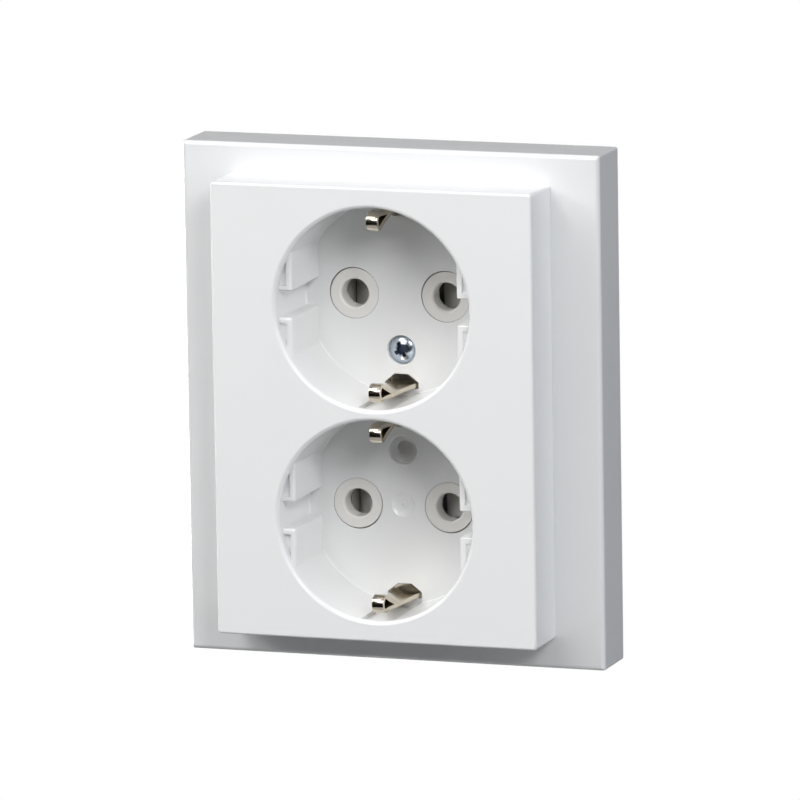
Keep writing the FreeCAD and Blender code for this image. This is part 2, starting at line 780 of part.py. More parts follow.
def make_earth_strip():
    """Earth strip: one stamping with a clip at each end, two lanced clips and a tab to the terminal."""
    flat = new_body("strip_flat")
    narrow = pin_x - size.boss_wide / 2 - size.strip_clear
    middle = size.strip_middle / 2
    foot = floor_r - size.clip_back
    end = well_z + foot
    lance = well_z - foot
    pillar_r = size.sink_wide / 2 + size.pillar_wall + size.strip_clear
    neck = screw_z + pillar_r
    step = neck + middle - narrow
    outline = [
        (-narrow, -end), (narrow, -end), (narrow, -step), (middle, -neck), (middle, neck),
        (narrow, step), (narrow, end), (-narrow, end), (-narrow, step), (-middle, neck),
        (-middle, -neck), (-narrow, -step),
    ]
    add(flat, "blank", "XZ_Plane", y_strip, y_lid, [outline])
    root_half = size.clip_wide / 2
    tip_half = size.clip_tip / 2 + size.strip_clear
    near = lance + size.strip_thick
    far = well_z + size.clip_tip
    windows = [
        [(-root_half, up * near), (root_half, up * near), (tip_half, up * far), (-tip_half, up * far)]
        for name, up in UPPER_LOWER
    ]
    cut(flat, "lanced", "XZ_Plane", y_strip, y_lid, windows)
    holes = [(0, up * screw_z, pillar_r) for name, up in UPPER_LOWER]
    cut(flat, "pillar_holes", "XZ_Plane", y_strip, y_lid, circles=holes)
    tab_left = earth_x - size.contact_thick
    notch = rectangle(-middle, -lance, tab_left, lance)
    cut(flat, "tab_notch", "XZ_Plane", y_strip, y_lid, [notch])
    add(flat, "tab_root", "XZ_Plane", y_strip, y_plate, [rectangle(tab_left, -lance, earth_x, lance)])
    tab = rectangle(tab_left, -size.bar_half, earth_x, size.bar_half)
    add(flat, "tab", "XZ_Plane", y_plate, y_bar_back, [tab])
    arms = []
    for label, up in (("outer_clip", 1), ("inner_clip", -1)):
        arm = clip_body(label, up)
        other = doc.addObject("Part::Mirroring", f"{label}_lower")
        other.Source = arm
        other.Normal = FreeCAD.Vector(0, 0, 1)
        arms += [arm, other]
    strip = doc.addObject("Part::MultiFuse", "earth_strip")
    strip.Label = "earth_strip"
    strip.Shapes = [flat] + arms
    NODES.append(strip)


def make_contact(label, across):
    """Contact of one pole: a bar with two sprung receptacles and a tab that stands up as a busbar."""
    body = new_body(label)
    sheet_t = size.leaf_thick
    root_x, neck_x, mouth_x = size.leaf_root / 2, size.leaf_neck / 2, size.leaf_mouth / 2
    y_tip = y_deck + size.leaf_start
    y_neck = y_tip + size.neck_place

    def at(offset, y):
        return (across * (pin_x + offset), y)

    outline = [
        at(-root_x - sheet_t, y_bar_back), at(-root_x - sheet_t, y_bar),
        at(-neck_x - sheet_t, y_neck), at(-mouth_x - sheet_t, y_tip),
        at(-mouth_x, y_tip), at(-neck_x, y_neck), at(-root_x, y_bar),
        at(root_x, y_bar), at(neck_x, y_neck), at(mouth_x, y_tip),
        at(mouth_x + sheet_t, y_tip), at(neck_x + sheet_t, y_neck),
        at(root_x + sheet_t, y_bar), at(root_x + sheet_t, y_bar_back),
    ]
    half = size.leaf_wide / 2
    edge_x = root_x + sheet_t
    bar = [at(-edge_x, y_bar), at(edge_x, y_bar), at(edge_x, y_bar_back), at(-edge_x, y_bar_back)]
    add(body, "bar", "XY_Plane", -well_z, well_z, [bar])
    for name, up in UPPER_LOWER:
        add(body, f"{name}_receptacle", "XY_Plane", up * well_z - half, up * well_z + half, [outline])
    face, back = across * bar_x, across * (bar_x - size.contact_thick)
    edge = across * (pin_x + edge_x)
    tab = [
        (edge, y_bar_back), (face, y_bar_back), (face, y_bar_back - size.bar_rise),
        (back, y_bar_back - size.bar_rise), (back, y_bar), (edge, y_bar),
    ]
    add(body, "busbar", "XY_Plane", -size.bar_half, size.bar_half, [tab])
    NODES.append(body)


# A terminal is drawn in its own direction u, which runs from the busbar's face: x = face + across * u
TERMINALS = (
    ("live", bar_x, 1),
    ("neutral", -bar_x, -1),
    ("earth", earth_x, 1),
)


def leaf_line():
    """Where the clamp's leaf leaves its loop, and where its tip ends at the busbar."""
    slope = size.leaf_angle
    y_loop = y_chamber - size.loop_gap - size.loop_radius
    start_u = size.loop_place - size.loop_radius * cosine(slope)
    start_y = y_loop + size.loop_radius * sine(slope)
    tip_u = size.sheet_gap
    tip_y = start_y - (start_u - tip_u) * cosine(slope) / sine(slope)
    return y_loop, start_u, start_y, tip_u, tip_y


def make_clamp_spring(name, face, across):
    """Clamp spring: a strip that stands on the chamber wall, loops over and leans on the busbar."""
    body = new_body(f"{name}_clamp_spring")
    slope = size.leaf_angle
    sheet_t = size.sheet_thick
    outer = size.loop_radius
    inner = outer - sheet_t
    y_loop, start_u, start_y, tip_u, tip_y = leaf_line()
    wall_u = size.loop_place + outer
    foot_y = y_loop - size.bar_rise

    def at(u, y):
        return (face + across * u, y)

    inner_u = size.loop_place - inner * cosine(slope)
    inner_y = y_loop + inner * sine(slope)
    tip_in_u = tip_u + sheet_t * cosine(slope)
    tip_in_y = tip_y - sheet_t * sine(slope)
    outline = [
        at(wall_u, foot_y),
        at(wall_u, y_loop),
        at(size.loop_place, y_loop + outer) + (outer, across),
        at(start_u, start_y) + (outer, across),
        at(tip_u, tip_y),
        at(tip_in_u, tip_in_y),
        at(inner_u, inner_y),
        at(size.loop_place, y_loop + inner) + (inner, -across),
        at(wall_u - sheet_t, y_loop) + (inner, -across),
        at(wall_u - sheet_t, foot_y),
    ]
    add(body, "form", "XY_Plane", -size.bar_half, size.bar_half, [outline])
    NODES.append(body)


def make_release(name, face, across):
    """Release lever: a push piece between the two wire windows, with a nose that bends the clamp away."""
    body = new_body(f"{name}_release")
    y_loop, start_u, start_y, tip_u, tip_y = leaf_line()
    slope = size.leaf_angle
    near, far = size.lever_start, size.lever_start + size.lever_wide

    def leaf_y(u):
        return start_y - (start_u - u) * cosine(slope) / sine(slope) + size.nose_gap

    def at(u, y):
        return (face + across * u, y)

    end = y_back + size.lever_out
    stem = [at(near, leaf_y(near)), at(far, leaf_y(far)), at(far, end), at(near, end)]
    half = size.lever_thick / 2
    add(body, "stem", "XY_Plane", -half, half, [stem])
    lip = y_chamber - size.lever_gap
    wings = [at(near, lip - size.lever_lip), at(far, lip - size.lever_lip), at(far, lip), at(near, lip)]
    add(body, "stops", "XY_Plane", -half - size.lever_lip, half + size.lever_lip, [wings])
    NODES.append(body)


def make_base():
    """Base: insulating block behind the plate with pockets for the contacts and three terminals."""
    body = new_body("base")
    add(body, "block", "XZ_Plane", formula(0), y_back, [barrel(base_r, base_x)])
    dress(body, "back_bevel", "Chamfer", "Size", size.base_bevel, outer_edge_at(y_back, base_x, base_r))
    cut(body, "recess", "XZ_Plane", formula(0), y_deck, [barrel(recess_r, recess_x)])
    pocket_z = well_z + size.leaf_wide / 2 + size.pocket_gap
    pockets = [
        rectangle(across * pin_x - pocket_half, -pocket_z, across * pin_x + pocket_half, pocket_z)
        for across in BOTH_SIDES
    ]
    cut(body, "contact_pockets", "XZ_Plane", y_deck, y_bar_back, pockets)
    windows, levers = [], []
    for name, face, across in TERMINALS:
        inside = face - across * (size.contact_thick + size.pocket_gap)
        outside = face + across * chamber_u
        room = [(inside, -chamber_z), (outside, -chamber_z), (outside, chamber_z), (inside, chamber_z)]
        cut(body, f"{name}_chamber", "XZ_Plane", y_deck, y_chamber, [room])
        left = face + across * size.window_start
        right = left + across * size.wire_window
        top = size.window_inner + size.wire_window
        for above in BOTH_SIDES:
            windows.append([
                (left, above * size.window_inner), (right, above * size.window_inner),
                (right, above * top), (left, above * top),
            ])
        start = face + across * (size.lever_start - size.lever_gap)
        stop = face + across * (size.lever_start + size.lever_wide + size.lever_gap)
        half = size.lever_thick / 2 + size.lever_gap
        levers.append([(start, -half), (stop, -half), (stop, half), (start, half)])
    cut(body, "wire_windows", "XZ_Plane", y_chamber, y_back, windows)
    cut(body, "lever_slots", "XZ_Plane", y_chamber, y_back, levers)
    fix_end = y_lid + size.fix_tall + size.fix_long
    holes = [(across * fix_x, across * fix_z, size.fix_shank / 2 + size.thread_gap) for across in BOTH_SIDES]
    cut(body, "fix_holes", "XZ_Plane", y_deck, fix_end, circles=holes)
    NODES.append(body)


def make_base_screws():
    """The two screws that clamp lid, plate and base together."""
    seat = y_lid + size.fix_tall + size.fix_gap
    end = seat + size.fix_long - size.fix_gap * 2
    screws = []
    for name, across in (("right", 1), ("left", -1)):
        head, shank = size.fix_head / 2, size.fix_shank / 2
        body = make_screw(f"base_screw_{name}", seat, head, size.fix_tall, shank, end)
        bind(body, "Placement.Base.x", across * fix_x)
        bind(body, "Placement.Base.z", across * fix_z)
        screws.append(body)
    group = doc.addObject("Part::Compound", "base_screws")
    group.Label = "base_screws"
    group.Links = screws
    NODES.append(group)


make_frame()
make_cover()
make_cover_screw()
make_insert()
make_support_plate()
make_lid()
make_base()
make_base_screws()
for which, sign in UPPER_LOWER:
    make_shutter(which, sign)
    make_shutter_spring(which, sign)
make_earth_strip()
make_contact("live_contact", 1)
make_contact("neutral_contact", -1)
for pole, bar_face, direction in TERMINALS:
    make_clamp_spring(pole, bar_face, direction)
    make_release(pole, bar_face, direction)
doc.recompute()

for item in doc.Objects:
    if "Invalid" in item.State or "Error" in item.State:
        raise RuntimeError(f"{item.Name} failed: {item.State}")
os.makedirs("parts", exist_ok=True)
for node in NODES:
    if node.Shape.isNull() or not node.Shape.isValid():
        raise RuntimeError(f"{node.Label} has no valid shape")
    node.Shape.exportStep(f"parts/{node.Label}.step")
    box = node.Shape.BoundBox
    corners = [round(v, 2) for v in (box.XMin, box.XMax, box.YMin, box.YMax, box.ZMin, box.ZMax)]
    print(node.Label, len(node.Shape.Solids), "solids", round(node.Shape.Volume, 1), "mm3", corners)
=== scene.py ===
# %% [markdown]
# Twin earthed wall socket
#
# This lesson dresses a finished CAD model of a white wall socket with two round wells. The CAD
# model gives every place and size, so it is loaded first and never moved. The pieces that catch most
# of the light are then built again with soft edges, the others are copied and get their edges
# rounded, and each piece gets a finish of its own.

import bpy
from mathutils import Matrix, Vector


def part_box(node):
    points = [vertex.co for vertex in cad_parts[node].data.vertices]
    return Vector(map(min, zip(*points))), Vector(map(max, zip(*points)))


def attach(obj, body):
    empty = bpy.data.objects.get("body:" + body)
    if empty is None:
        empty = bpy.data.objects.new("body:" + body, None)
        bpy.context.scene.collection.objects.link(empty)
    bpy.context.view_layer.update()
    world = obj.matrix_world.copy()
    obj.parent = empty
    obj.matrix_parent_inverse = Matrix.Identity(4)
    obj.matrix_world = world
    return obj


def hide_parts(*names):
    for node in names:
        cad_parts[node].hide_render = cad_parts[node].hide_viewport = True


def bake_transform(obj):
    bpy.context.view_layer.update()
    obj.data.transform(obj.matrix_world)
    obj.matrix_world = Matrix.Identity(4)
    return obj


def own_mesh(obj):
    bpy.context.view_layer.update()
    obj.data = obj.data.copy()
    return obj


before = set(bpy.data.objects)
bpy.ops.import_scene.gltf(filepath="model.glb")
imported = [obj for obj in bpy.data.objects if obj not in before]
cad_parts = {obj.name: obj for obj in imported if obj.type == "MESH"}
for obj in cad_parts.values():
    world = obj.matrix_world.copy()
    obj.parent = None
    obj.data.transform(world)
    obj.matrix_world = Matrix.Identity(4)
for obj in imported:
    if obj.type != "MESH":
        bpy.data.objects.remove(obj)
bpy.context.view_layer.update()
print("CAD nodes:", len(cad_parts))

# %% [markdown]
# Sizes
#
# Blender works in metres, but a socket is thought of in millimetres, so every shape below is written
# in millimetres and scaled once, when its mesh is made. Main sizes are read from the CAD model.
# Y runs from the face into the wall, so the face has the lowest y. Three values serve all steps:
# how far a cutting tool reaches past what it cuts, how close to a face counts as on it, and the
# angle in degrees above which an edge is sharp.

# %% Read the main sizes
import math

import bmesh
import bpy
from mathutils import Matrix, Vector

MM = 0.001
OVERSHOOT = 1.0
NEARLY = 0.05
SHARP_ABOVE = 32.0


def node_corners(name):
    """Lowest and highest corner of a CAD node, in millimetres."""
    low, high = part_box(name)
    return [v / MM for v in low], [v / MM for v in high]


frame_low, frame_high = node_corners("frame")
cover_low, cover_high = node_corners("cover")
screw_low, screw_high = node_corners("cover_screw")
shutter_low, shutter_high = node_corners("shutter_upper")
FRAME_X, FRAME_Y, FRAME_Z = frame_high[0], frame_low[1], frame_high[2]
COVER_X, FACE, COVER_Z = cover_high[0], cover_low[1], cover_high[2]
WELL_Z = (shutter_low[2] + shutter_high[2]) / 2
SCREW_Z = (screw_low[2] + screw_high[2]) / 2
WELLS = (WELL_Z, -WELL_Z)
SIDES = (1, -1)
strip_back = node_corners("earth_strip")[1][1]
print(f"frame {2 * FRAME_X:.1f} x {2 * FRAME_Z:.1f} mm, wells {WELL_Z:.1f} mm from the middle")

# %% [markdown]
# From points to meshes
#
# Most of the socket is either turned, like the wells, or made of rounded rectangles stacked one
# behind the other, like the frame and the cover's skirt. Both come down to loops of points with a
# skin of quads between them. Modifiers could round plain boxes instead, but loops say exactly where
# each round starts and ends, and they leave clean meshes.

# %% Points and loops
ROUND_STEPS = 8
SHARPEST = 0.12


def rounded_rectangle(half_wide, half_high, corner, steps):
    """Points of a rectangle about zero whose four corners have the same round."""
    points = []
    for quarter, (side, up) in enumerate(((1, 1), (-1, 1), (-1, -1), (1, -1))):
        for k in range(steps + 1):
            turn = (quarter + k / steps) * math.pi / 2
            across = side * (half_wide - corner) + corner * math.cos(turn)
            points.append((across, up * (half_high - corner) + corner * math.sin(turn)))
    return points


def panel(half_x, half_z, corner, y, steps=6):
    """A rounded rectangle at one depth."""
    return [(x, y, z) for x, z in rounded_rectangle(half_x, half_z, corner, steps)]


def rounded_front(half_x, half_z, corner, front, bend):
    """Loops round the front edge of a panel, from its side to its front face."""
    loops = []
    for k in range(ROUND_STEPS + 1):
        turn = k / ROUND_STEPS * math.pi / 2
        inset = bend * (1 - math.cos(turn))
        y = front + bend * (1 - math.sin(turn))
        loops.append(panel(half_x - inset, half_z - inset, max(corner - inset, SHARPEST), y))
    return loops


def circle(x, z, radius, y, steps):
    """A ring of points at one depth."""
    turns = [2 * math.pi * k / steps for k in range(steps)]
    return [(x + radius * math.cos(t), y, z + radius * math.sin(t)) for t in turns]


def arc(y, radius, bend, start, end, steps=8):
    """Points of a rounded corner in a profile: its middle, its bend radius and its angles in degrees."""
    points = []
    for k in range(steps + 1):
        turn = math.radians(start + (end - start) * k / steps)
        points.append((y + bend * math.sin(turn), radius + bend * math.cos(turn)))
    return points


print("loops ready")

# %% Skins, slabs and turned forms
def add_object(name, data):
    """A new object for a mesh, a light or a camera."""
    item = bpy.data.objects.new(name, data)
    bpy.context.scene.collection.objects.link(item)
    return item


def add_shape(name, shape):
    """A new object from an editable shape, which is freed."""
    mesh = bpy.data.meshes.new(name)
    shape.to_mesh(mesh)
    shape.free()
    return add_object(name, mesh)


def make_piece(name, points, faces):
    """A new object from points in millimetres, with its faces turned outwards."""
    mesh = bpy.data.meshes.new(name)
    mesh.from_pydata([Vector(point) * MM for point in points], [], faces)
    shape = bmesh.new()
    shape.from_mesh(mesh)
    bmesh.ops.recalc_face_normals(shape, faces=shape.faces)
    shape.to_mesh(mesh)
    shape.free()
    return add_object(name, mesh)


def skin(name, loops, ring=False):
    """Quads between loops of equal length. The ends are capped, or joined when it is a ring."""
    count = len(loops[0])
    last = len(loops) - 1
    points = [point for loop in loops for point in loop]
    faces = []
    for i in range(last + ring):
        here, there = i * count, (i + 1) % len(loops) * count
        for k in range(count):
            after = (k + 1) % count
            faces.append((here + k, here + after, there + after, there + k))
    if not ring:
        faces.append(tuple(range(count)))
        faces.append(tuple(range(last * count, (last + 1) * count)))
    return make_piece(name, points, faces)


def turned(name, profile, x=0.0, z=0.0, steps=96):
    """A profile of (y, radius) points spun about an axis that runs along Y through x, z."""
    return skin(name, [circle(x, z, radius, y, steps) for y, radius in profile])


def slab(name, outline, front, back):
    """A flat outline of (x, z) points given a thickness along Y."""
    return skin(name, [[(x, y, z) for x, z in outline] for y in (front, back)])


def rounded_block(name, low, high, bevel):
    """A block between two corners with all its edges rounded."""
    (x0, y0, z0), (x1, y1, z1) = low, high
    piece = slab(name, [(x0, z0), (x1, z0), (x1, z1), (x0, z1)], y0, y1)
    shape = bmesh.new()
    shape.from_mesh(piece.data)
    bmesh.ops.bevel(shape, geom=shape.edges, offset=bevel * MM, segments=3, profile=0.5, affect="EDGES")
    shape.to_mesh(piece.data)
    shape.free()
    return piece


print("skins ready")

# %% Joining, cutting and shading
def gather(name, pieces):
    """Several pieces as one object."""
    shape = bmesh.new()
    for piece in pieces:
        shape.from_mesh(piece.data)
        bpy.data.objects.remove(piece)
    return add_shape(name, shape)


def apply_modifiers(piece):
    """Make what a piece's modifiers do part of its mesh."""
    bpy.context.view_layer.update()
    made = bpy.data.meshes.new_from_object(piece.evaluated_get(bpy.context.evaluated_depsgraph_get()))
    piece.modifiers.clear()
    piece.data = made


def carve(piece, tool, operation="DIFFERENCE"):
    """Cut a tool out of a piece, or weld the tool to it with UNION, and drop the tool."""
    step = piece.modifiers.new("carve", "BOOLEAN")
    step.operation = operation
    step.solver = "EXACT"
    step.object = tool
    apply_modifiers(piece)
    bpy.data.objects.remove(tool)


def soften(piece):
    """Smooth shading, with sharp edges kept crisp."""
    piece.data.polygons.foreach_set("use_smooth", [True] * len(piece.data.polygons))
    piece.data.set_sharp_from_angle(angle=math.radians(SHARP_ABOVE))


def keep_flat(piece):
    """Let large faces rule the shading, so that a flat face stays flat up to its rounded edge."""
    step = piece.modifiers.new("keep_flat", "WEIGHTED_NORMAL")
    step.keep_sharp = True
    apply_modifiers(piece)


print("tools ready")

# %% [markdown]
# Finishes shared by several materials
#
# Two effects come back in material after material, so each is a node group with named sockets.
# Moulded plastic never is one flat colour: its tone drifts a little where the melt flowed, its gloss
# varies, and the surface has a faint ripple. Sheet metal has drawing lines along the sheet and small
# dull spots in its plating. The groups give out only colours, roughness and height, and each
# material keeps its own shader.

# %% Node group helpers
def start_group(name, inputs, outputs):
    """A shader group with its sockets, and its input and output nodes."""
    group = bpy.data.node_groups.new(name, "ShaderNodeTree")
    for label, kind, value in inputs:
        socket = group.interface.new_socket(label, in_out="INPUT", socket_type=kind)
        socket.default_value = value
    for label, kind in outputs:
        group.interface.new_socket(label, in_out="OUTPUT", socket_type=kind)
    return group, group.nodes.new("NodeGroupInput"), group.nodes.new("NodeGroupOutput")


def add_node(tree, kind, **values):
    """A node with its input sockets set by name; words joined by _ stand for spaces."""
    node = tree.nodes.new(kind)
    for label, value in values.items():
        node.inputs[label.replace("_", " ")].default_value = value
    return node


def noise(tree, place, scale, detail=2.0):
    """Noise over a place vector, about one blotch to each 1/scale metre."""
    node = add_node(tree, "ShaderNodeTexNoise", Scale=scale, Detail=detail, Roughness=0.55)
    tree.links.new(place, node.inputs["Vector"])
    return node.outputs["Fac"]


def sum_of(tree, first, second, factor):
    """first + second * factor, where factor is a number or a socket."""
    node = tree.nodes.new("ShaderNodeMath")
    node.operation = "MULTIPLY_ADD"
    tree.links.new(second, node.inputs[0])
    if isinstance(factor, (int, float)):
        node.inputs[1].default_value = factor
    else:
        tree.links.new(factor, node.inputs[1])
    tree.links.new(first, node.inputs[2])
    return node.outputs[0]


def centred(tree, value):
    """A noise value moved so that it swings about zero."""
    node = tree.nodes.new("ShaderNodeMath")
    node.operation = "SUBTRACT"
    node.inputs[1].default_value = 0.5
    tree.links.new(value, node.inputs[0])
    return node.outputs[0]


def blend_colours(tree, factor, first, second):
    """Mix of two colour sockets by a factor socket."""
    node = tree.nodes.new("ShaderNodeMix")
    node.data_type = "RGBA"
    tree.links.new(factor, node.inputs[0])
    tree.links.new(first, node.inputs[6])
    tree.links.new(second, node.inputs[7])
    return node.outputs[2]


SURFACE = [("Colour", "NodeSocketColor"), ("Roughness", "NodeSocketFloat"), ("Height", "NodeSocketFloat")]
print("group helpers ready")

# %% Moulded plastic group
PORE_SHARE = 0.25
moulded, asked, given = start_group(
    "moulded_skin",
    [
        ("Colour", "NodeSocketColor", (0.8, 0.8, 0.8, 1.0)),
        ("Flow Colour", "NodeSocketColor", (0.75, 0.75, 0.75, 1.0)),
        ("Roughness", "NodeSocketFloat", 0.3),
        ("Gloss Drift", "NodeSocketFloat", 0.1),
    ],
    SURFACE,
)
place = moulded.nodes.new("ShaderNodeTexCoord").outputs["Object"]
flow = noise(moulded, place, scale=38.0)
bloom = noise(moulded, place, scale=160.0, detail=3.0)
ripple = noise(moulded, place, scale=420.0, detail=1.0)
pores = noise(moulded, place, scale=5200.0, detail=2.0)
tone = blend_colours(moulded, flow, asked.outputs["Colour"], asked.outputs["Flow Colour"])
moulded.links.new(tone, given.inputs["Colour"])
shine = sum_of(moulded, asked.outputs["Roughness"], centred(moulded, bloom), asked.outputs["Gloss Drift"])
moulded.links.new(shine, given.inputs["Roughness"])
moulded.links.new(sum_of(moulded, ripple, pores, PORE_SHARE), given.inputs["Height"])
print("moulded_skin:", len(moulded.nodes), "nodes")

# %% Plated sheet group
LINE_SHARE = 0.12
plated, asked, given = start_group(
    "plated_sheet",
    [
        ("Colour", "NodeSocketColor", (0.7, 0.7, 0.7, 1.0)),
        ("Dull Colour", "NodeSocketColor", (0.5, 0.5, 0.5, 1.0)),
        ("Roughness", "NodeSocketFloat", 0.2),
        ("Dull Spread", "NodeSocketFloat", 0.25),
        ("Draw Lines", "NodeSocketVector", (300.0, 3000.0, 3000.0)),
    ],
    SURFACE,
)
place = plated.nodes.new("ShaderNodeTexCoord").outputs["Object"]
stretch = plated.nodes.new("ShaderNodeVectorMath")
stretch.operation = "MULTIPLY"
plated.links.new(place, stretch.inputs[0])
plated.links.new(asked.outputs["Draw Lines"], stretch.inputs[1])
lines = noise(plated, stretch.outputs[0], scale=1.0, detail=3.0)
spots = noise(plated, place, scale=700.0, detail=4.0)
tone = blend_colours(plated, spots, asked.outputs["Colour"], asked.outputs["Dull Colour"])
plated.links.new(tone, given.inputs["Colour"])
dull = sum_of(plated, asked.outputs["Roughness"], centred(plated, spots), asked.outputs["Dull Spread"])
plated.links.new(sum_of(plated, dull, centred(plated, lines), LINE_SHARE), given.inputs["Roughness"])
plated.links.new(lines, given.inputs["Height"])
print("plated_sheet:", len(plated.nodes), "nodes")

# %% [markdown]
# The socket's own finishes
#
# The frame and the cover are glossy white plastic, the frame a shade greyer. The bosses round the pin
# holes are a warmer, duller white, and the block inside the wall is a grey that nobody sees once it
# is fitted. The shutters behind the bosses are two copies of one grey: the upper copy is darker, which
# is painted shade for its deep holes, and the lower copy paler, which is painted light. Earth clips are
# nickel plated, which is a warm metal. The cover screw has a bluish zinc plate, and the faces of its
# recess take a dark copy of it that is painted shade. A number that is the same all over a surface is
# set on the shader itself.

# %% Material with a surface group
def surfaced(name, group, values, strength, height):
    """A material whose shader takes colour, roughness and bump from a group, and that shader."""
    material = bpy.data.materials.new(name)
    material.use_nodes = True
    tree = material.node_tree
    shader = tree.nodes["Principled BSDF"]
    surface = tree.nodes.new("ShaderNodeGroup")
    surface.node_tree = group
    for label, value in values.items():
        surface.inputs[label].default_value = value
    bump = add_node(tree, "ShaderNodeBump", Strength=strength, Distance=height)
    tree.links.new(surface.outputs["Height"], bump.inputs["Height"])
    tree.links.new(surface.outputs["Colour"], shader.inputs["Base Color"])
    tree.links.new(surface.outputs["Roughness"], shader.inputs["Roughness"])
    tree.links.new(bump.outputs["Normal"], shader.inputs["Normal"])
    return material, shader


print("ready to make materials")

# %% Plastic materials
PLASTIC_IOR = 1.5
RIPPLE_HIGH = 0.0002


def plastic(name, colour, flow_colour, roughness, gloss_drift=0.08, ripple=0.015):
    """Moulded plastic with a faint ripple."""
    values = {
        "Colour": (*colour, 1.0),
        "Flow Colour": (*flow_colour, 1.0),
        "Roughness": roughness,
        "Gloss Drift": gloss_drift,
    }
    material, shader = surfaced(name, moulded, values, ripple, RIPPLE_HIGH)
    shader.inputs["IOR"].default_value = PLASTIC_IOR
    return material


cover_white = plastic("cover_white", (0.87, 0.875, 0.87), (0.85, 0.855, 0.855), 0.225, gloss_drift=0.06)
frame_white = plastic("frame_white", (0.83, 0.835, 0.84), (0.80, 0.805, 0.81), 0.23, gloss_drift=0.06)
boss_ivory = plastic("boss_ivory", (0.84, 0.82, 0.79), (0.80, 0.78, 0.75), 0.42)
# Two copies of one shutter grey: the darker one is painted shade, the paler one painted light.
shutter_painted_shade = plastic("shutter_painted_shade", (0.66, 0.66, 0.62), (0.58, 0.58, 0.54), 0.38)
shutter_painted_light = plastic("shutter_painted_light", (0.88, 0.88, 0.87), (0.81, 0.81, 0.80), 0.38)
base_grey = plastic("base_grey", (0.60, 0.61, 0.60), (0.54, 0.55, 0.54), 0.5, ripple=0.15)
lever_orange = plastic("lever_orange", (0.80, 0.27, 0.05), (0.70, 0.22, 0.04), 0.4)
print("plastics ready")

# %% Metal materials
SHEET_LINES = (300.0, 3000.0, 3000.0)
PLATE_LINES = (2500.0, 2500.0, 250.0)
DULL_SPREAD = 0.2
GRAIN = 0.05
GRAIN_HIGH = 0.00005


def metal(name, colour, dull_colour, roughness, lines=SHEET_LINES):
    """Plated or plain metal with fine drawing lines."""
    values = {
        "Colour": (*colour, 1.0),
        "Dull Colour": (*dull_colour, 1.0),
        "Roughness": roughness,
        "Dull Spread": DULL_SPREAD,
        "Draw Lines": lines,
    }
    material, shader = surfaced(name, plated, values, GRAIN, GRAIN_HIGH)
    shader.inputs["Metallic"].default_value = 1.0
    return material


clip_nickel = metal("clip_nickel", (0.72, 0.66, 0.56), (0.58, 0.51, 0.41), 0.18)
screw_zinc = metal("screw_zinc", (0.62, 0.68, 0.75), (0.48, 0.54, 0.62), 0.22)
# A dark copy of the zinc, painted shade for the faces inside the screw's recess.
recess_painted_shade = metal("recess_painted_shade", (0.16, 0.20, 0.28), (0.10, 0.13, 0.19), 0.4)
plate_zinc = metal("plate_zinc", (0.66, 0.67, 0.68), (0.52, 0.53, 0.55), 0.38, PLATE_LINES)
spring_bright = metal("spring_bright", (0.56, 0.56, 0.55), (0.42, 0.42, 0.41), 0.28)
contact_brass = metal("contact_brass", (0.80, 0.60, 0.28), (0.62, 0.44, 0.20), 0.3)
print("metals ready")

# %% [markdown]
# Putting a piece in place
#
# Each piece stands for one CAD node, built again or copied: it hides that node and takes the finish
# that it is given, and most pieces move with a body.

# %% Place a piece
def dress(piece, node, material):
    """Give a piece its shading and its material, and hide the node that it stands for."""
    soften(piece)
    keep_flat(piece)
    piece.data.materials.clear()
    piece.data.materials.append(material)
    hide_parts(node)
    print(piece.name, len(piece.data.polygons), "faces")


def settle(piece, node, material, body="body"):
    """Dress a piece and let it ride on one body."""
    dress(piece, node, material)
    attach(piece, body)


print("ready to place pieces")

# %% [markdown]
# Outer frame
#
# The frame is a shallow tray with an opening for the cover. Its section is the same all the way
# round, so it is one ring of rounded rectangles: up the outside, round the front edge, across the
# front, down the opening to the ledge the cover sits on, and back behind the collar.

# %% Build the frame
FRAME_CORNER = 0.5
FRAME_ROUND = 0.9
FRAME_WALL = 2.0
FRAME_FRONT = 2.2
COVER_GAP = 0.01
COVER_CORNER = 0.7
COVER_WALL = 2.0
COLLAR_WALL = 1.6
LIP_ROUND = 0.03
LEDGE = -4.5
LEDGE_BACK = -3.1
INNER_CORNER = 0.4
LIP_STEPS = 4

opening_x, opening_z = COVER_X + COVER_GAP, COVER_Z + COVER_GAP
opening_corner = COVER_CORNER + COVER_GAP
loops = [panel(FRAME_X, FRAME_Z, FRAME_CORNER, 0.0)]
loops += rounded_front(FRAME_X, FRAME_Z, FRAME_CORNER, FRAME_Y, FRAME_ROUND)
for k in range(LIP_STEPS + 1):
    turn = k / LIP_STEPS * math.pi / 2
    inset = LIP_ROUND * (1 - math.sin(turn))
    y = FRAME_Y + LIP_ROUND * (1 - math.cos(turn))
    loops.append(panel(opening_x + inset, opening_z + inset, opening_corner + inset, y))
ledge_x, ledge_z = COVER_X - COVER_WALL, COVER_Z - COVER_WALL
collar_x, collar_z = opening_x + COLLAR_WALL, opening_z + COLLAR_WALL
inside_x, inside_z = FRAME_X - FRAME_WALL, FRAME_Z - FRAME_WALL
loops += [
    panel(opening_x, opening_z, opening_corner, LEDGE),
    panel(ledge_x, ledge_z, INNER_CORNER, LEDGE),
    panel(ledge_x, ledge_z, INNER_CORNER, LEDGE_BACK),
    panel(collar_x, collar_z, INNER_CORNER, LEDGE_BACK),
    panel(collar_x, collar_z, INNER_CORNER, FRAME_Y + FRAME_FRONT),
    panel(inside_x, inside_z, INNER_CORNER, FRAME_Y + FRAME_FRONT),
    panel(inside_x, inside_z, INNER_CORNER, 0.0),
]
outer_frame = skin("outer_frame", loops, ring=True)
settle(outer_frame, "frame", frame_white)

# %% [markdown]
# Cover
#
# The cover is one moulding: a skirt, a face, and two round wells with everything a plug needs. It
# starts as a hollow shell of rounded rectangles. The wells are turned forms that are cut out of it,
# so the rim and the foot of each well get their rounds from the tool's profile. Behind each well a
# pillar stands round the place of the cover screw.

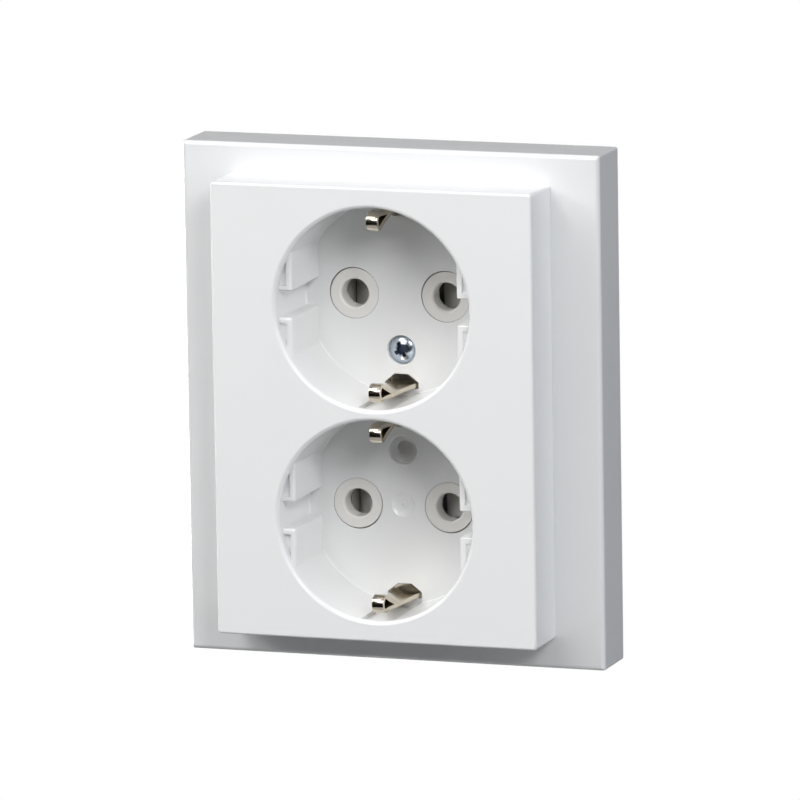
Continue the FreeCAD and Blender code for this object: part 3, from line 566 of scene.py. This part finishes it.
# %% Shell of the cover
COVER_ROUND = 0.5
shell = [
    panel(ledge_x, ledge_z, INNER_CORNER, FACE + COVER_WALL),
    panel(ledge_x, ledge_z, INNER_CORNER, LEDGE),
    panel(COVER_X, COVER_Z, COVER_CORNER, LEDGE),
]
shell += rounded_front(COVER_X, COVER_Z, COVER_CORNER, FACE, COVER_ROUND)
cover = skin("socket_cover", shell)
print("shell:", len(cover.data.polygons), "faces")

# %% Wells
MOUTH_R = 19.95
FLOOR_R = 19.7
WELL_WALL = 2.4
RIM_ROUND = 0.85
FOOT_ROUND = 0.3
FLOOR = -6.5
FLOOR_BACK = -4.5
LID = -3.7
WELL_STEPS = 192
RIM_START = 82.0
PILLAR_R = 3.8

rim = arc(FACE + RIM_ROUND, MOUTH_R + RIM_ROUND, -RIM_ROUND, RIM_START, 0, steps=10)
first_y, first_r = rim[0]
lead = (first_y - OVERSHOOT * math.cos(math.radians(RIM_START)), first_r + OVERSHOOT)
foot = arc(FLOOR - FOOT_ROUND, FLOOR_R - FOOT_ROUND, FOOT_ROUND, 0, 90)
well_profile = [lead, *rim, *foot]
tube_profile = [(FACE + COVER_WALL / 2, MOUTH_R + WELL_WALL), (FLOOR_BACK, MOUTH_R + WELL_WALL)]
pillar_profile = [(FLOOR - OVERSHOOT, PILLAR_R), (LID, PILLAR_R)]
for middle in WELLS:
    carve(cover, turned("tube", tube_profile, z=middle, steps=WELL_STEPS), "UNION")
for middle in (SCREW_Z, -SCREW_Z):
    carve(cover, turned("pillar", pillar_profile, z=middle), "UNION")
for middle in WELLS:
    carve(cover, turned("well", well_profile, z=middle, steps=WELL_STEPS))
print("wells cut:", len(cover.data.polygons), "faces")

# %% [markdown]
# Guide blocks
#
# At the left and right of each well two blocks stand out from the wall. Their flat faces and the
# groove between them turn a plug the right way up. Behind each flat face is a pocket that keeps the
# moulding's wall thin. Each block is a box with rounded edges, welded to the wall, and the pocket is
# cut as the wall's own curve leaves it. The blocks on the left are rounder and have deeper pockets.

# %% Guides
GUIDE_INSET = 2.7
GUIDE_WALL = 1.1
GUIDE_GROOVE = 5.3
GUIDE_BELOW = 1.8
GUIDE_ROOT = 1.1
GUIDE_SINK = 0.3
GUIDE_POCKETS = {1: 0.25, -1: 0.6}
GUIDE_BEVELS = {1: 0.2, -1: 0.5}
POCKET_STEPS = 10

chord = FLOOR_R - GUIDE_INSET
groove = GUIDE_GROOVE / 2
block_top = math.sqrt(MOUTH_R ** 2 - chord ** 2) + GUIDE_SINK
guide_y = FACE + GUIDE_BELOW
pocket_x, pocket_low = chord + GUIDE_WALL, groove + GUIDE_WALL
swing_low = math.asin(pocket_low / MOUTH_R)
swing_high = math.acos(pocket_x / MOUTH_R)
pocket = [(pocket_x, pocket_low)]
for k in range(POCKET_STEPS + 1):
    swing = swing_low + (swing_high - swing_low) * k / POCKET_STEPS
    pocket.append((MOUTH_R * math.cos(swing), MOUTH_R * math.sin(swing)))
for middle in WELLS:
    blocks, pockets = [], []
    for side in SIDES:
        for up in SIDES:
            xs = sorted((side * chord, side * (MOUTH_R + GUIDE_ROOT)))
            zs = sorted((middle + up * groove, middle + up * block_top))
            low, high = (xs[0], guide_y, zs[0]), (xs[1], FLOOR + OVERSHOOT, zs[1])
            blocks.append(rounded_block("guide", low, high, GUIDE_BEVELS[side]))
            outline = [(side * x, middle + up * z) for x, z in pocket]
            pockets.append(slab("pocket", outline, guide_y - OVERSHOOT, guide_y + GUIDE_POCKETS[side]))
    carve(cover, gather("guides", blocks), "UNION")
    carve(cover, gather("pockets", pockets))
print("guides:", len(cover.data.polygons), "faces")

# %% [markdown]
# Holes in the well floors
#
# Each floor has two round holes that the pin bosses of the part behind come up through, two slots
# for the earth clips, and a screw seat. Only the upper seat holds a screw. In the middle of the lower
# floor is the gate, a small dish with a nub where the melt ran into the mould. The bosses sit a little
# off the middle of their holes, so the gap round them is wider on one side.

# %% Boss holes and screw seats
PIN_X = 9.5
BOSS_R = 5.0
BOSS_HOLE_R = 5.12
BOSS_DRIFT = 0.07
SINK_R = 2.9
SINK_FLOOR = -4.9
SCREW_HOLE_R = 1.65
EDGE_ROUND = 0.2
FLARE_START = 80.0
FLARE_LEAD = 0.3

flare = arc(FLOOR + EDGE_ROUND, SINK_R + EDGE_ROUND, -EDGE_ROUND, FLARE_START, 0, steps=4)
seat = [(FLOOR - FLARE_LEAD, SINK_R + 2 * EDGE_ROUND), *flare]
seat += [(SINK_FLOOR, SINK_R), (SINK_FLOOR, SCREW_HOLE_R), (LID + OVERSHOOT, SCREW_HOLE_R)]
boss_hole = [(FLOOR - OVERSHOOT, BOSS_HOLE_R), (FLOOR_BACK + OVERSHOOT, BOSS_HOLE_R)]
drills = []
for middle, drift in zip(WELLS, (-BOSS_DRIFT, BOSS_DRIFT)):
    for side in SIDES:
        drills.append(turned("boss_hole", boss_hole, x=side * PIN_X + drift, z=middle - drift))
for middle in (SCREW_Z, -SCREW_Z):
    drills.append(turned("seat", seat, z=middle))
print("holes and seats:", len(drills))

# %% Slots and channels for the clips
CLIP_BACK = 1.4
CLIP_WIDE = 6.4
SHEET = 0.65
SLOT_LONG = 2.6
SLOT_TIP = 2.8
SLOT_CLEAR = 0.3
SLOT_LEAD = 0.05
SLOT_PAST = 0.5
CHANNEL_BELOW = 1.2
CHANNEL_R = 20.3

clip_foot = FLOOR_R - CLIP_BACK
near, far = clip_foot - SLOT_LONG, clip_foot + SLOT_CLEAR
shoulder = clip_foot - SHEET - SLOT_CLEAR
narrow, wide = SLOT_TIP / 2, CLIP_WIDE / 2 + SLOT_CLEAR
slot_half = [(narrow, near), (wide, shoulder), (wide, far)]
slot_whole = slot_half + [(-x, z) for x, z in reversed(slot_half)]
channels = []
for middle in WELLS:
    for up in SIDES:
        low, high = sorted((middle + up * shoulder, middle + up * CHANNEL_R))
        outline = [(wide, low), (wide, high), (-wide, high), (-wide, low)]
        channels.append(slab("channel", outline, FACE + CHANNEL_BELOW, FLOOR))
        outline = [(x, middle + up * z) for x, z in slot_whole]
        drills.append(slab("slot", outline, FLOOR - SLOT_LEAD - FOOT_ROUND, FLOOR_BACK + SLOT_PAST))
carve(cover, gather("channels", channels))
print("channels cut:", len(cover.data.polygons), "faces")

# %% Gate, and all the floor's holes at once
GATE_R = 2.45
GATE_DEEP = 0.85
GATE_LEAD = 0.1
GATE_STEPS = 8
NUB_R = 0.55
NUB_TALL = 0.3
NUB_SHOULDER = 0.8
NUB_TOP = 0.4

gate_ball = (GATE_R ** 2 + GATE_DEEP ** 2) / (2 * GATE_DEEP)
gate_bottom = FLOOR + GATE_DEEP
gate = [(FLOOR - GATE_LEAD, GATE_R + GATE_LEAD)]
for k in range(GATE_STEPS + 1):
    ring = GATE_R + (NUB_R - GATE_R) * k / GATE_STEPS
    gate.append((gate_bottom - gate_ball + math.sqrt(gate_ball ** 2 - ring ** 2), ring))
gate.append((gate_bottom - NUB_TALL * NUB_SHOULDER, NUB_R * NUB_SHOULDER))
gate.append((gate_bottom - NUB_TALL, NUB_R * NUB_TOP))
drills.append(turned("gate", gate, z=-WELL_Z, steps=48))
carve(cover, gather("drills", drills))
settle(cover, "cover", cover_white)

# %% [markdown]
# Earth strip and its clips
#
# The four clips at the top and bottom of the wells are one stamping: a flat strip behind the floors
# with arms that come up through the slots, narrow towards the front, and end in a roll that a plug
# slides over. An arm is a rounded section carried along the line of the sheet, so its edges are soft
# like those of real stamped metal. The arms lean out a little, the top ones more.

# %% Build the clips
ROLL_R = 1.85
CURL = 205.0
LEG_LONG = 5.0
LEG_STEPS = 6
CLIP_BELOW = 0.9
CLIP_LEANS = {1: -0.6, -1: -0.4}
CLIP_TIP = 2.45
ARM_THICK = 0.95
ARM_ROUND = 0.2
CURL_STEPS = 40
ARM_STEPS = 12

roll_y = FACE + CLIP_BELOW + ROLL_R
taper_end = FACE + CLIP_BELOW + 2 * ROLL_R


def arm_half(y):
    """Half the arm's width at one depth: full at the floor, narrow from the roll on."""
    share = min(max((y - taper_end) / (FLOOR - taper_end), 0.0), 1.0)
    return CLIP_TIP / 2 + (CLIP_WIDE - CLIP_TIP) / 2 * share


def clip_line(lean):
    """The line of one arm: (distance from the well's middle, y, turn of the sheet in radians)."""
    line = []
    roll_w = clip_foot - lean - ROLL_R
    for k in range(ARM_STEPS):
        share = k / ARM_STEPS
        line.append((clip_foot - lean * share - ARM_THICK / 2, LID + (roll_y - LID) * share, 0.0))
    radius = ROLL_R - ARM_THICK / 2
    for k in range(CURL_STEPS + 1):
        turn = math.radians(CURL) * k / CURL_STEPS
        line.append((roll_w + radius * math.cos(turn), roll_y - radius * math.sin(turn), turn))
    end_w, end_y, turn = line[-1]
    for k in range(1, LEG_STEPS + 1):
        reach = LEG_LONG * k / LEG_STEPS
        line.append((end_w - reach * math.sin(turn), end_y - reach * math.cos(turn), turn))
    return line


def make_clip(middle, up):
    """One clip: the section of its arm carried along its line, at the top or bottom of a well."""
    loops = []
    for w, y, turn in clip_line(CLIP_LEANS[up]):
        loop = []
        for across, through in rounded_rectangle(arm_half(y), ARM_THICK / 2, ARM_ROUND, steps=3):
            z = middle + up * (w + through * math.cos(turn))
            loop.append((across, y - through * math.sin(turn), z))
        loops.append(loop)
    return skin("clip", loops)


clips = [make_clip(side * WELL_Z, up) for side in SIDES for up in SIDES]
print("clips:", len(clips))

# %% Build the strip
STRIP_MIDDLE = 12.8
STRIP_CLEAR = 0.3

strip_y = LID - SHEET
cut_front, cut_back = strip_y - OVERSHOOT, LID + OVERSHOOT
narrow_x = PIN_X - BOSS_R - STRIP_CLEAR
middle_x = STRIP_MIDDLE / 2
pillar_clear = PILLAR_R + STRIP_CLEAR
neck_z = SCREW_Z + pillar_clear
step_z = neck_z + middle_x - narrow_x
end_z = WELL_Z + clip_foot
half_outline = [(narrow_x, -end_z), (narrow_x, -step_z), (middle_x, -neck_z)]
half_outline += [(x, -z) for x, z in reversed(half_outline)]
outline = half_outline + [(-x, z) for x, z in reversed(half_outline)]
strip = slab("earth_clips", outline, strip_y, LID)
lance = WELL_Z - clip_foot
root_half, tip_half = CLIP_WIDE / 2, CLIP_TIP / 2 + STRIP_CLEAR
windows = []
for up in SIDES:
    root_z, tip_z = up * (lance + SHEET), up * (WELL_Z + CLIP_TIP)
    window = [(-root_half, root_z), (root_half, root_z), (tip_half, tip_z), (-tip_half, tip_z)]
    windows.append(slab("window", window, cut_front, cut_back))
    hole = [(cut_front, pillar_clear), (cut_back, pillar_clear)]
    windows.append(turned("hole", hole, z=up * SCREW_Z))
for tool in windows:
    carve(strip, tool)
print("strip:", len(strip.data.polygons), "faces")

# %% Fold the tab and join the clips
TAB_THICK = 0.7
TAB_HALF = 6.4
TAB_X = -3.95

tab_left = TAB_X - TAB_THICK
notch_left = -middle_x - OVERSHOOT
notch = [(notch_left, -lance), (tab_left, -lance), (tab_left, lance), (notch_left, lance)]
carve(strip, slab("notch", notch, cut_front, cut_back))
tab = [(tab_left, -TAB_HALF), (TAB_X, -TAB_HALF), (TAB_X, TAB_HALF), (tab_left, TAB_HALF)]
carve(strip, slab("tab", tab, strip_y, strip_back), "UNION")
carve(strip, gather("clips", clips), "UNION")
settle(strip, "earth_strip", clip_nickel)

# %% [markdown]
# Cover screw
#
# The screw that holds the cover has a low domed head with a recess for a cross or a flat blade. Its
# thread is a surface whose radius follows a helix: at each height the radius depends on the turn, so
# one skin of loops gives a true thread. The recess is a cross that narrows inwards, with four smaller
# notches between its arms, and its faces get a dark colour that is painted shade inside the recess.

# %% Head and thread
HEAD_R = 2.65
HEAD_RIM = 0.65
HEAD_EDGE = 0.12
HEAD_STEPS = 11
HEAD_CENTRE = 0.04
SHANK_R = 1.45
THREAD_DEEP = 0.22
THREAD_PITCH = 0.7
THREAD_STEPS = 8
THREAD_SIDES = 48
POINT_LONG = 1.4
POINT_R = 0.05

head_top, screw_end = screw_low[1], screw_high[1]
dome = SINK_FLOOR - HEAD_RIM - head_top
crown = (HEAD_R ** 2 + dome ** 2) / (2 * dome)


def dome_y(radius):
    """Depth of the domed head at a distance from its middle."""
    return head_top + crown - math.sqrt(max(crown ** 2 - radius ** 2, 0.0))


def thread_loop(y):
    """A loop of the shank at one depth, its radius following a helix and fading at the point."""
    fade = min((screw_end - y) / POINT_LONG, 1.0)
    loop = []
    for k in range(THREAD_SIDES):
        phase = (y / THREAD_PITCH + k / THREAD_SIDES) % 1.0
        radius = max((SHANK_R - THREAD_DEEP * abs(2 * phase - 1)) * fade, POINT_R)
        turn = 2 * math.pi * k / THREAD_SIDES
        loop.append((radius * math.cos(turn), y, SCREW_Z + radius * math.sin(turn)))
    return loop


profile = []
for k in range(HEAD_STEPS + 1):
    radius = HEAD_R * (HEAD_CENTRE + (1 - HEAD_CENTRE) * k / HEAD_STEPS)
    profile.append((dome_y(radius), radius))
profile += [(SINK_FLOOR - HEAD_EDGE, HEAD_R), (SINK_FLOOR, HEAD_R - HEAD_EDGE)]
loops = [circle(0.0, SCREW_Z, radius, y, THREAD_SIDES) for y, radius in profile]
rows = int((screw_end - SINK_FLOOR) / THREAD_PITCH * THREAD_STEPS)
for row in range(rows + 1):
    loops.append(thread_loop(SINK_FLOOR + (screw_end - SINK_FLOOR) * row / rows))
cover_screw = skin("socket_screw", loops)
print("screw:", rows, "rows of thread")

# %% Recess of the screw
RECESS_TURN = 28.0
RECESS_R = 1.6
RECESS_ARM = 0.42
RECESS_DEEP = 1.3
NOTCH_TURN = RECESS_TURN + 45.0
NOTCH_R = 1.15
NOTCH_ARM = 0.2
NOTCH_DEEP = 0.9
RECESS_LEAD = 0.4
RECESS_STRAIGHT = 0.2
RECESS_TAPER = 0.7
RECESS_EDGE = 0.1


def blade_cross(arm, half):
    """Outline of a cross: (x, z) points, arms of one length and half width."""
    return [
        (arm, -half), (arm, half), (half, half), (half, arm), (-half, arm), (-half, half),
        (-arm, half), (-arm, -half), (-half, -half), (-half, -arm), (half, -arm), (half, -half),
    ]


def cut_cross(reach, half, deep, swing):
    """Cut one cross into the head, turned by some degrees, its arms shorter at the bottom."""
    across, along = math.cos(math.radians(swing)), math.sin(math.radians(swing))
    loops = []
    for depth, share in ((-RECESS_LEAD, 1.0), (RECESS_STRAIGHT, 1.0), (deep, RECESS_TAPER)):
        loop = []
        for a, b in blade_cross(reach * share, half):
            loop.append((a * across - b * along, head_top + depth, SCREW_Z + a * along + b * across))
        loops.append(loop)
    carve(cover_screw, skin("cross", loops))


cut_cross(RECESS_R, RECESS_ARM, RECESS_DEEP, RECESS_TURN)
cut_cross(NOTCH_R, NOTCH_ARM, NOTCH_DEEP, NOTCH_TURN)
settle(cover_screw, "cover_screw", screw_zinc)
# Faces sunk in the cross take the dark copy: painted shade inside the recess.
cover_screw.data.materials.append(recess_painted_shade)
for face in cover_screw.data.polygons:
    x, y, z = face.center / MM
    reach = math.hypot(x, z - SCREW_Z)
    sunk = y - dome_y(reach) > RECESS_EDGE
    if sunk and reach < RECESS_R + RECESS_EDGE and y < head_top + RECESS_DEEP + NEARLY:
        face.material_index = 1

# %% [markdown]
# Pieces that keep their CAD shape
#
# The lid with its pin bosses, the shutters, the block inside the wall and what it holds already have
# the right shape, but a CAD edge is perfectly sharp and no real edge is. So each is copied, its flat
# faces are joined again, and its sharp edges are rounded. Moulded edges get a wider round than the
# edges of stamped sheet.

# %% Copy a node and round its edges
FLAT_WITHIN = 0.5
SAME_POINT = 0.001


def copy_node(name, node):
    """A new object with a CAD node's shape, without the triangles that divide its flat faces."""
    shape = bmesh.new()
    shape.from_mesh(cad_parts[node].data)
    bmesh.ops.remove_doubles(shape, verts=shape.verts, dist=SAME_POINT * MM)
    flat = math.radians(FLAT_WITHIN)
    bmesh.ops.dissolve_limit(shape, angle_limit=flat, verts=shape.verts, edges=shape.edges)
    return add_shape(name, shape)


def round_edges(piece, width, wanted=None, segments=2):
    """Round the sharp edges whose middle, in millimetres, is wanted, or all of them."""
    shape = bmesh.new()
    shape.from_mesh(piece.data)
    chosen = []
    for edge in shape.edges:
        middle = (edge.verts[0].co + edge.verts[1].co) / 2 / MM
        sharp = edge.calc_face_angle() > math.radians(SHARP_ABOVE)
        if sharp and (wanted is None or wanted(middle)):
            chosen.append(edge)
    bmesh.ops.bevel(
        shape, geom=chosen, offset=width * MM, segments=segments, profile=0.5,
        affect="EDGES", clamp_overlap=True,
    )
    shape.to_mesh(piece.data)
    shape.free()


print("ready to round edges")

# %% Lid, shutters, plate and contacts
MOULDED_ROUND = 0.15
STAMPED_ROUND = 0.1
# The two shutters take the painted shade and painted light copies of one grey.
ROUNDED = (
    ("pin_lid", "contact_lid", boss_ivory, "ivory_plastic", MOULDED_ROUND, "body"),
    ("upper_shutter", "shutter_upper", shutter_painted_shade, "dark_plastic", MOULDED_ROUND, "shutter_upper"),
    ("lower_shutter", "shutter_lower", shutter_painted_light, "dark_plastic", MOULDED_ROUND, "shutter_lower"),
    ("wall_plate", "support_plate", plate_zinc, "plate_steel", STAMPED_ROUND, "body"),
    ("live_bar", "live_contact", contact_brass, "brass", STAMPED_ROUND, "body"),
    ("neutral_bar", "neutral_contact", contact_brass, "brass", STAMPED_ROUND, "body"),
    ("thread_insert", "screw_insert", contact_brass, "brass", STAMPED_ROUND, "body"),
    ("block_screws", "base_screws", screw_zinc, "zinc_steel", STAMPED_ROUND, "body"),
)
for name, node, material, slot, width, body in ROUNDED:
    piece = copy_node(name, node)
    round_edges(piece, width)
    settle(piece, node, material, body)

# %% [markdown]
# Block in the wall
#
# The block behind the plate holds the contacts and the wire clamps. Its back has a generous round
# along its outline, a small funnel round each wire window that leads a stripped wire in, and shallow
# round marks where pins pushed the moulding out of its mould.

# %% Build the block
BLOCK_ROUND = 0.8
FUNNEL = 0.35
WINDOWS_WITHIN = 24.0
PIN_MARK_R = 1.7
PIN_MARK_DEEP = 0.12
PIN_MARKS = ((0.0, 19.0), (-14.0, 14.5), (14.0, 14.5), (0.0, -19.0), (-14.0, -14.5), (14.0, -14.5))

block_back = node_corners("base")[1][1]


def on_back_outline(middle):
    """Whether an edge lies on the back, away from the wire windows."""
    return middle.y > block_back - NEARLY and math.hypot(middle.x, middle.z) > WINDOWS_WITHIN


def round_a_window(middle):
    """Whether an edge lies on the back, round a wire window."""
    return middle.y > block_back - NEARLY and math.hypot(middle.x, middle.z) < WINDOWS_WITHIN


block = copy_node("wall_block", "base")
round_edges(block, BLOCK_ROUND, on_back_outline, segments=4)
round_edges(block, FUNNEL, round_a_window)
round_edges(block, MOULDED_ROUND)
mark = [(block_back - PIN_MARK_DEEP, PIN_MARK_R), (block_back + OVERSHOOT, PIN_MARK_R)]
marks = [turned("mark", mark, x, z, steps=40) for x, z in PIN_MARKS]
carve(block, gather("marks", marks))
settle(block, "base", base_grey)

# %% [markdown]
# Springs and levers
#
# A spring cannot ride on one body, because its two ends move apart: the folded leaf behind a shutter
# is squashed between its post and the shutter, and a clamp's loop stays where it is while its arm
# follows the lever that pushes it. Here each spring and clamp is only copied with rounded edges: the
# shutter springs ride on the main body, the clamps stay where they are, and each lever rides on its
# own release.

# %% Build the springs and levers
LEVER_ROUND = 0.25

for name, node, joint in (
    ("upper_shutter_spring", "shutter_spring_upper", "shutter_upper_slide"),
    ("lower_shutter_spring", "shutter_spring_lower", "shutter_lower_slide"),
):
    piece = copy_node(name, node)
    round_edges(piece, STAMPED_ROUND)
    settle(piece, node, spring_bright)
    low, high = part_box(node)
    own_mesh(piece)
for pole, across in (("live", 1), ("neutral", -1), ("earth", 1)):
    lever = copy_node(f"{pole}_lever", f"{pole}_release")
    round_edges(lever, LEVER_ROUND)
    settle(lever, f"{pole}_release", lever_orange, f"{pole}_release")
    clamp = copy_node(f"{pole}_clamp", f"{pole}_clamp_spring")
    round_edges(clamp, STAMPED_ROUND)
    dress(clamp, f"{pole}_clamp_spring", spring_bright)
    low, high = node_corners(f"{pole}_clamp_spring")
    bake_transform(clamp)

# %% [markdown]
# Floor and light
#
# A product picture of a white thing on white needs soft light, mostly from above, so that the
# underside and the deep parts of the wells stay darker than the face. Four softboxes stand in front,
# two weaker and cooler ones light the right side, a large one hangs overhead, and one stands behind
# for views of the back. The floor is well below the socket, which hangs on a wall. Floor and
# surroundings are dim to every other ray, but the camera sees them white.

# %% Floor
FLOOR_DROP = 0.5
FLOOR_RADIUS = 0.7
FLOOR_ROUGH = 0.9
PALE = (0.5, 0.5, 0.5, 1.0)
WHITE = (1.0, 1.0, 1.0, 1.0)


def show_camera(tree, shader, shown, output):
    """Give the camera the shader that is shown and every other ray the first one."""
    ray = tree.nodes.new("ShaderNodeLightPath")
    choose = tree.nodes.new("ShaderNodeMixShader")
    tree.links.new(ray.outputs["Is Camera Ray"], choose.inputs[0])
    tree.links.new(shader.outputs[0], choose.inputs[1])
    tree.links.new(shown.outputs[0], choose.inputs[2])
    tree.links.new(choose.outputs[0], tree.nodes[output].inputs["Surface"])


bpy.ops.mesh.primitive_circle_add(
    vertices=96, radius=FLOOR_RADIUS, fill_type="NGON", location=(0, 0, -FLOOR_DROP)
)
ground = bpy.context.object
ground.name = "pale_floor"
paper = bpy.data.materials.new("floor_paper")
paper.use_nodes = True
sheet = paper.node_tree.nodes["Principled BSDF"]
sheet.inputs["Base Color"].default_value = PALE
sheet.inputs["Roughness"].default_value = FLOOR_ROUGH
glow = add_node(paper.node_tree, "ShaderNodeEmission", Color=WHITE, Strength=1.0)
show_camera(paper.node_tree, sheet, glow, "Material Output")
ground.data.materials.append(paper)
print("floor at", -FLOOR_DROP)

# %% Softboxes
NEUTRAL = (1.0, 1.0, 1.0)
COOL = (0.92, 0.97, 1.06)
COOLER = (0.9, 0.96, 1.08)
BOX_DISTANCE = 1.2
SOFTBOXES = {
    "key_left": (-60.0, 30.0, 0.45, 6.3, NEUTRAL),
    "key_high": (-35.0, 45.0, 0.45, 3.7, NEUTRAL),
    "front": (-10.0, 31.0, 0.4, 2.7, NEUTRAL),
    "key_right": (38.0, 30.0, 0.45, 5.9, NEUTRAL),
    "side_low": (62.0, 8.0, 0.45, 2.2, COOL),
    "side_fill": (80.0, 25.0, 0.45, 1.6, COOLER),
    "behind": (222.0, -8.0, 0.6, 9.0, NEUTRAL),
    "overhead": (0.0, 80.0, 1.0, 2.7, NEUTRAL),
}


def towards(azimuth, elevation):
    """A direction from the socket in degrees; azimuth 0 is straight in front, positive to the right."""
    az, el = math.radians(azimuth), math.radians(elevation)
    return Vector((math.sin(az) * math.cos(el), -math.cos(az) * math.cos(el), math.sin(el)))


def softbox(name, azimuth, elevation, size, watts, colour):
    """A square light that faces the socket."""
    lamp = bpy.data.lights.new(name, "AREA")
    lamp.size = size
    lamp.energy = watts
    lamp.color = colour
    light = add_object(name, lamp)
    direction = towards(azimuth, elevation)
    light.location = direction * BOX_DISTANCE
    light.rotation_euler = direction.to_track_quat("Z", "Y").to_euler()


for box_name, settings in SOFTBOXES.items():
    softbox(box_name, *settings)
print("lights:", ", ".join(SOFTBOXES))

# %% Surroundings
SKY_LIGHT = 0.02
GROUND_LIGHT = 0.0
HORIZON_BLUR = 0.25

world = bpy.data.worlds.new("pale_room")
bpy.context.scene.world = world
world.use_nodes = True
room = world.node_tree
sky = room.nodes["Background"]
sky.inputs["Color"].default_value = WHITE
direction = room.nodes.new("ShaderNodeTexCoord")
height = room.nodes.new("ShaderNodeSeparateXYZ")
horizon = add_node(room, "ShaderNodeMapRange", To_Min=GROUND_LIGHT, To_Max=SKY_LIGHT)
horizon.inputs["From Min"].default_value = -HORIZON_BLUR
horizon.inputs["From Max"].default_value = HORIZON_BLUR
room.links.new(direction.outputs["Generated"], height.inputs[0])
room.links.new(height.outputs["Z"], horizon.inputs["Value"])
room.links.new(horizon.outputs["Result"], sky.inputs["Strength"])
backdrop = add_node(room, "ShaderNodeBackground", Color=WHITE, Strength=1.0)
show_camera(room, sky, backdrop, "World Output")
bpy.context.scene.view_settings.view_transform = "Standard"
print("surroundings ready")

# %% [markdown]
# Camera
#
# The camera's place was worked out from the corners of the frame and the cover: it stands to the
# right of the socket, a little above it, and far away with a long lens, so parallel edges stay
# nearly parallel.

# %% Camera
AZIMUTH = 19.13
ELEVATION = 10.49
ROLL = -0.897
DISTANCE = 1955.5
ASIDE = -2.51
ABOVE = -1.06
FOCAL_PIXELS = 9920.6
IMAGE_PIXELS = 800.0
SENSOR = 36.0

az, roll = math.radians(AZIMUTH), math.radians(ROLL)
back = towards(AZIMUTH, ELEVATION)
right = Vector((math.cos(az), math.sin(az), 0.0))
upward = back.cross(right)
eye = (back * DISTANCE + right * ASIDE + upward * ABOVE) * MM
view_right = right * math.cos(roll) + upward * math.sin(roll)
view_up = upward * math.cos(roll) - right * math.sin(roll)
lens = bpy.data.cameras.new("camera")
lens.sensor_width = SENSOR
lens.lens = FOCAL_PIXELS / IMAGE_PIXELS * SENSOR
lens.clip_end = 20.0
camera = add_object("camera", lens)
axes = Matrix((view_right, view_up, back)).transposed().to_4x4()
camera.matrix_world = Matrix.Translation(eye) @ axes
bpy.context.scene.camera = camera
print(f"lens {lens.lens:.0f} mm at {eye.length:.2f} m")
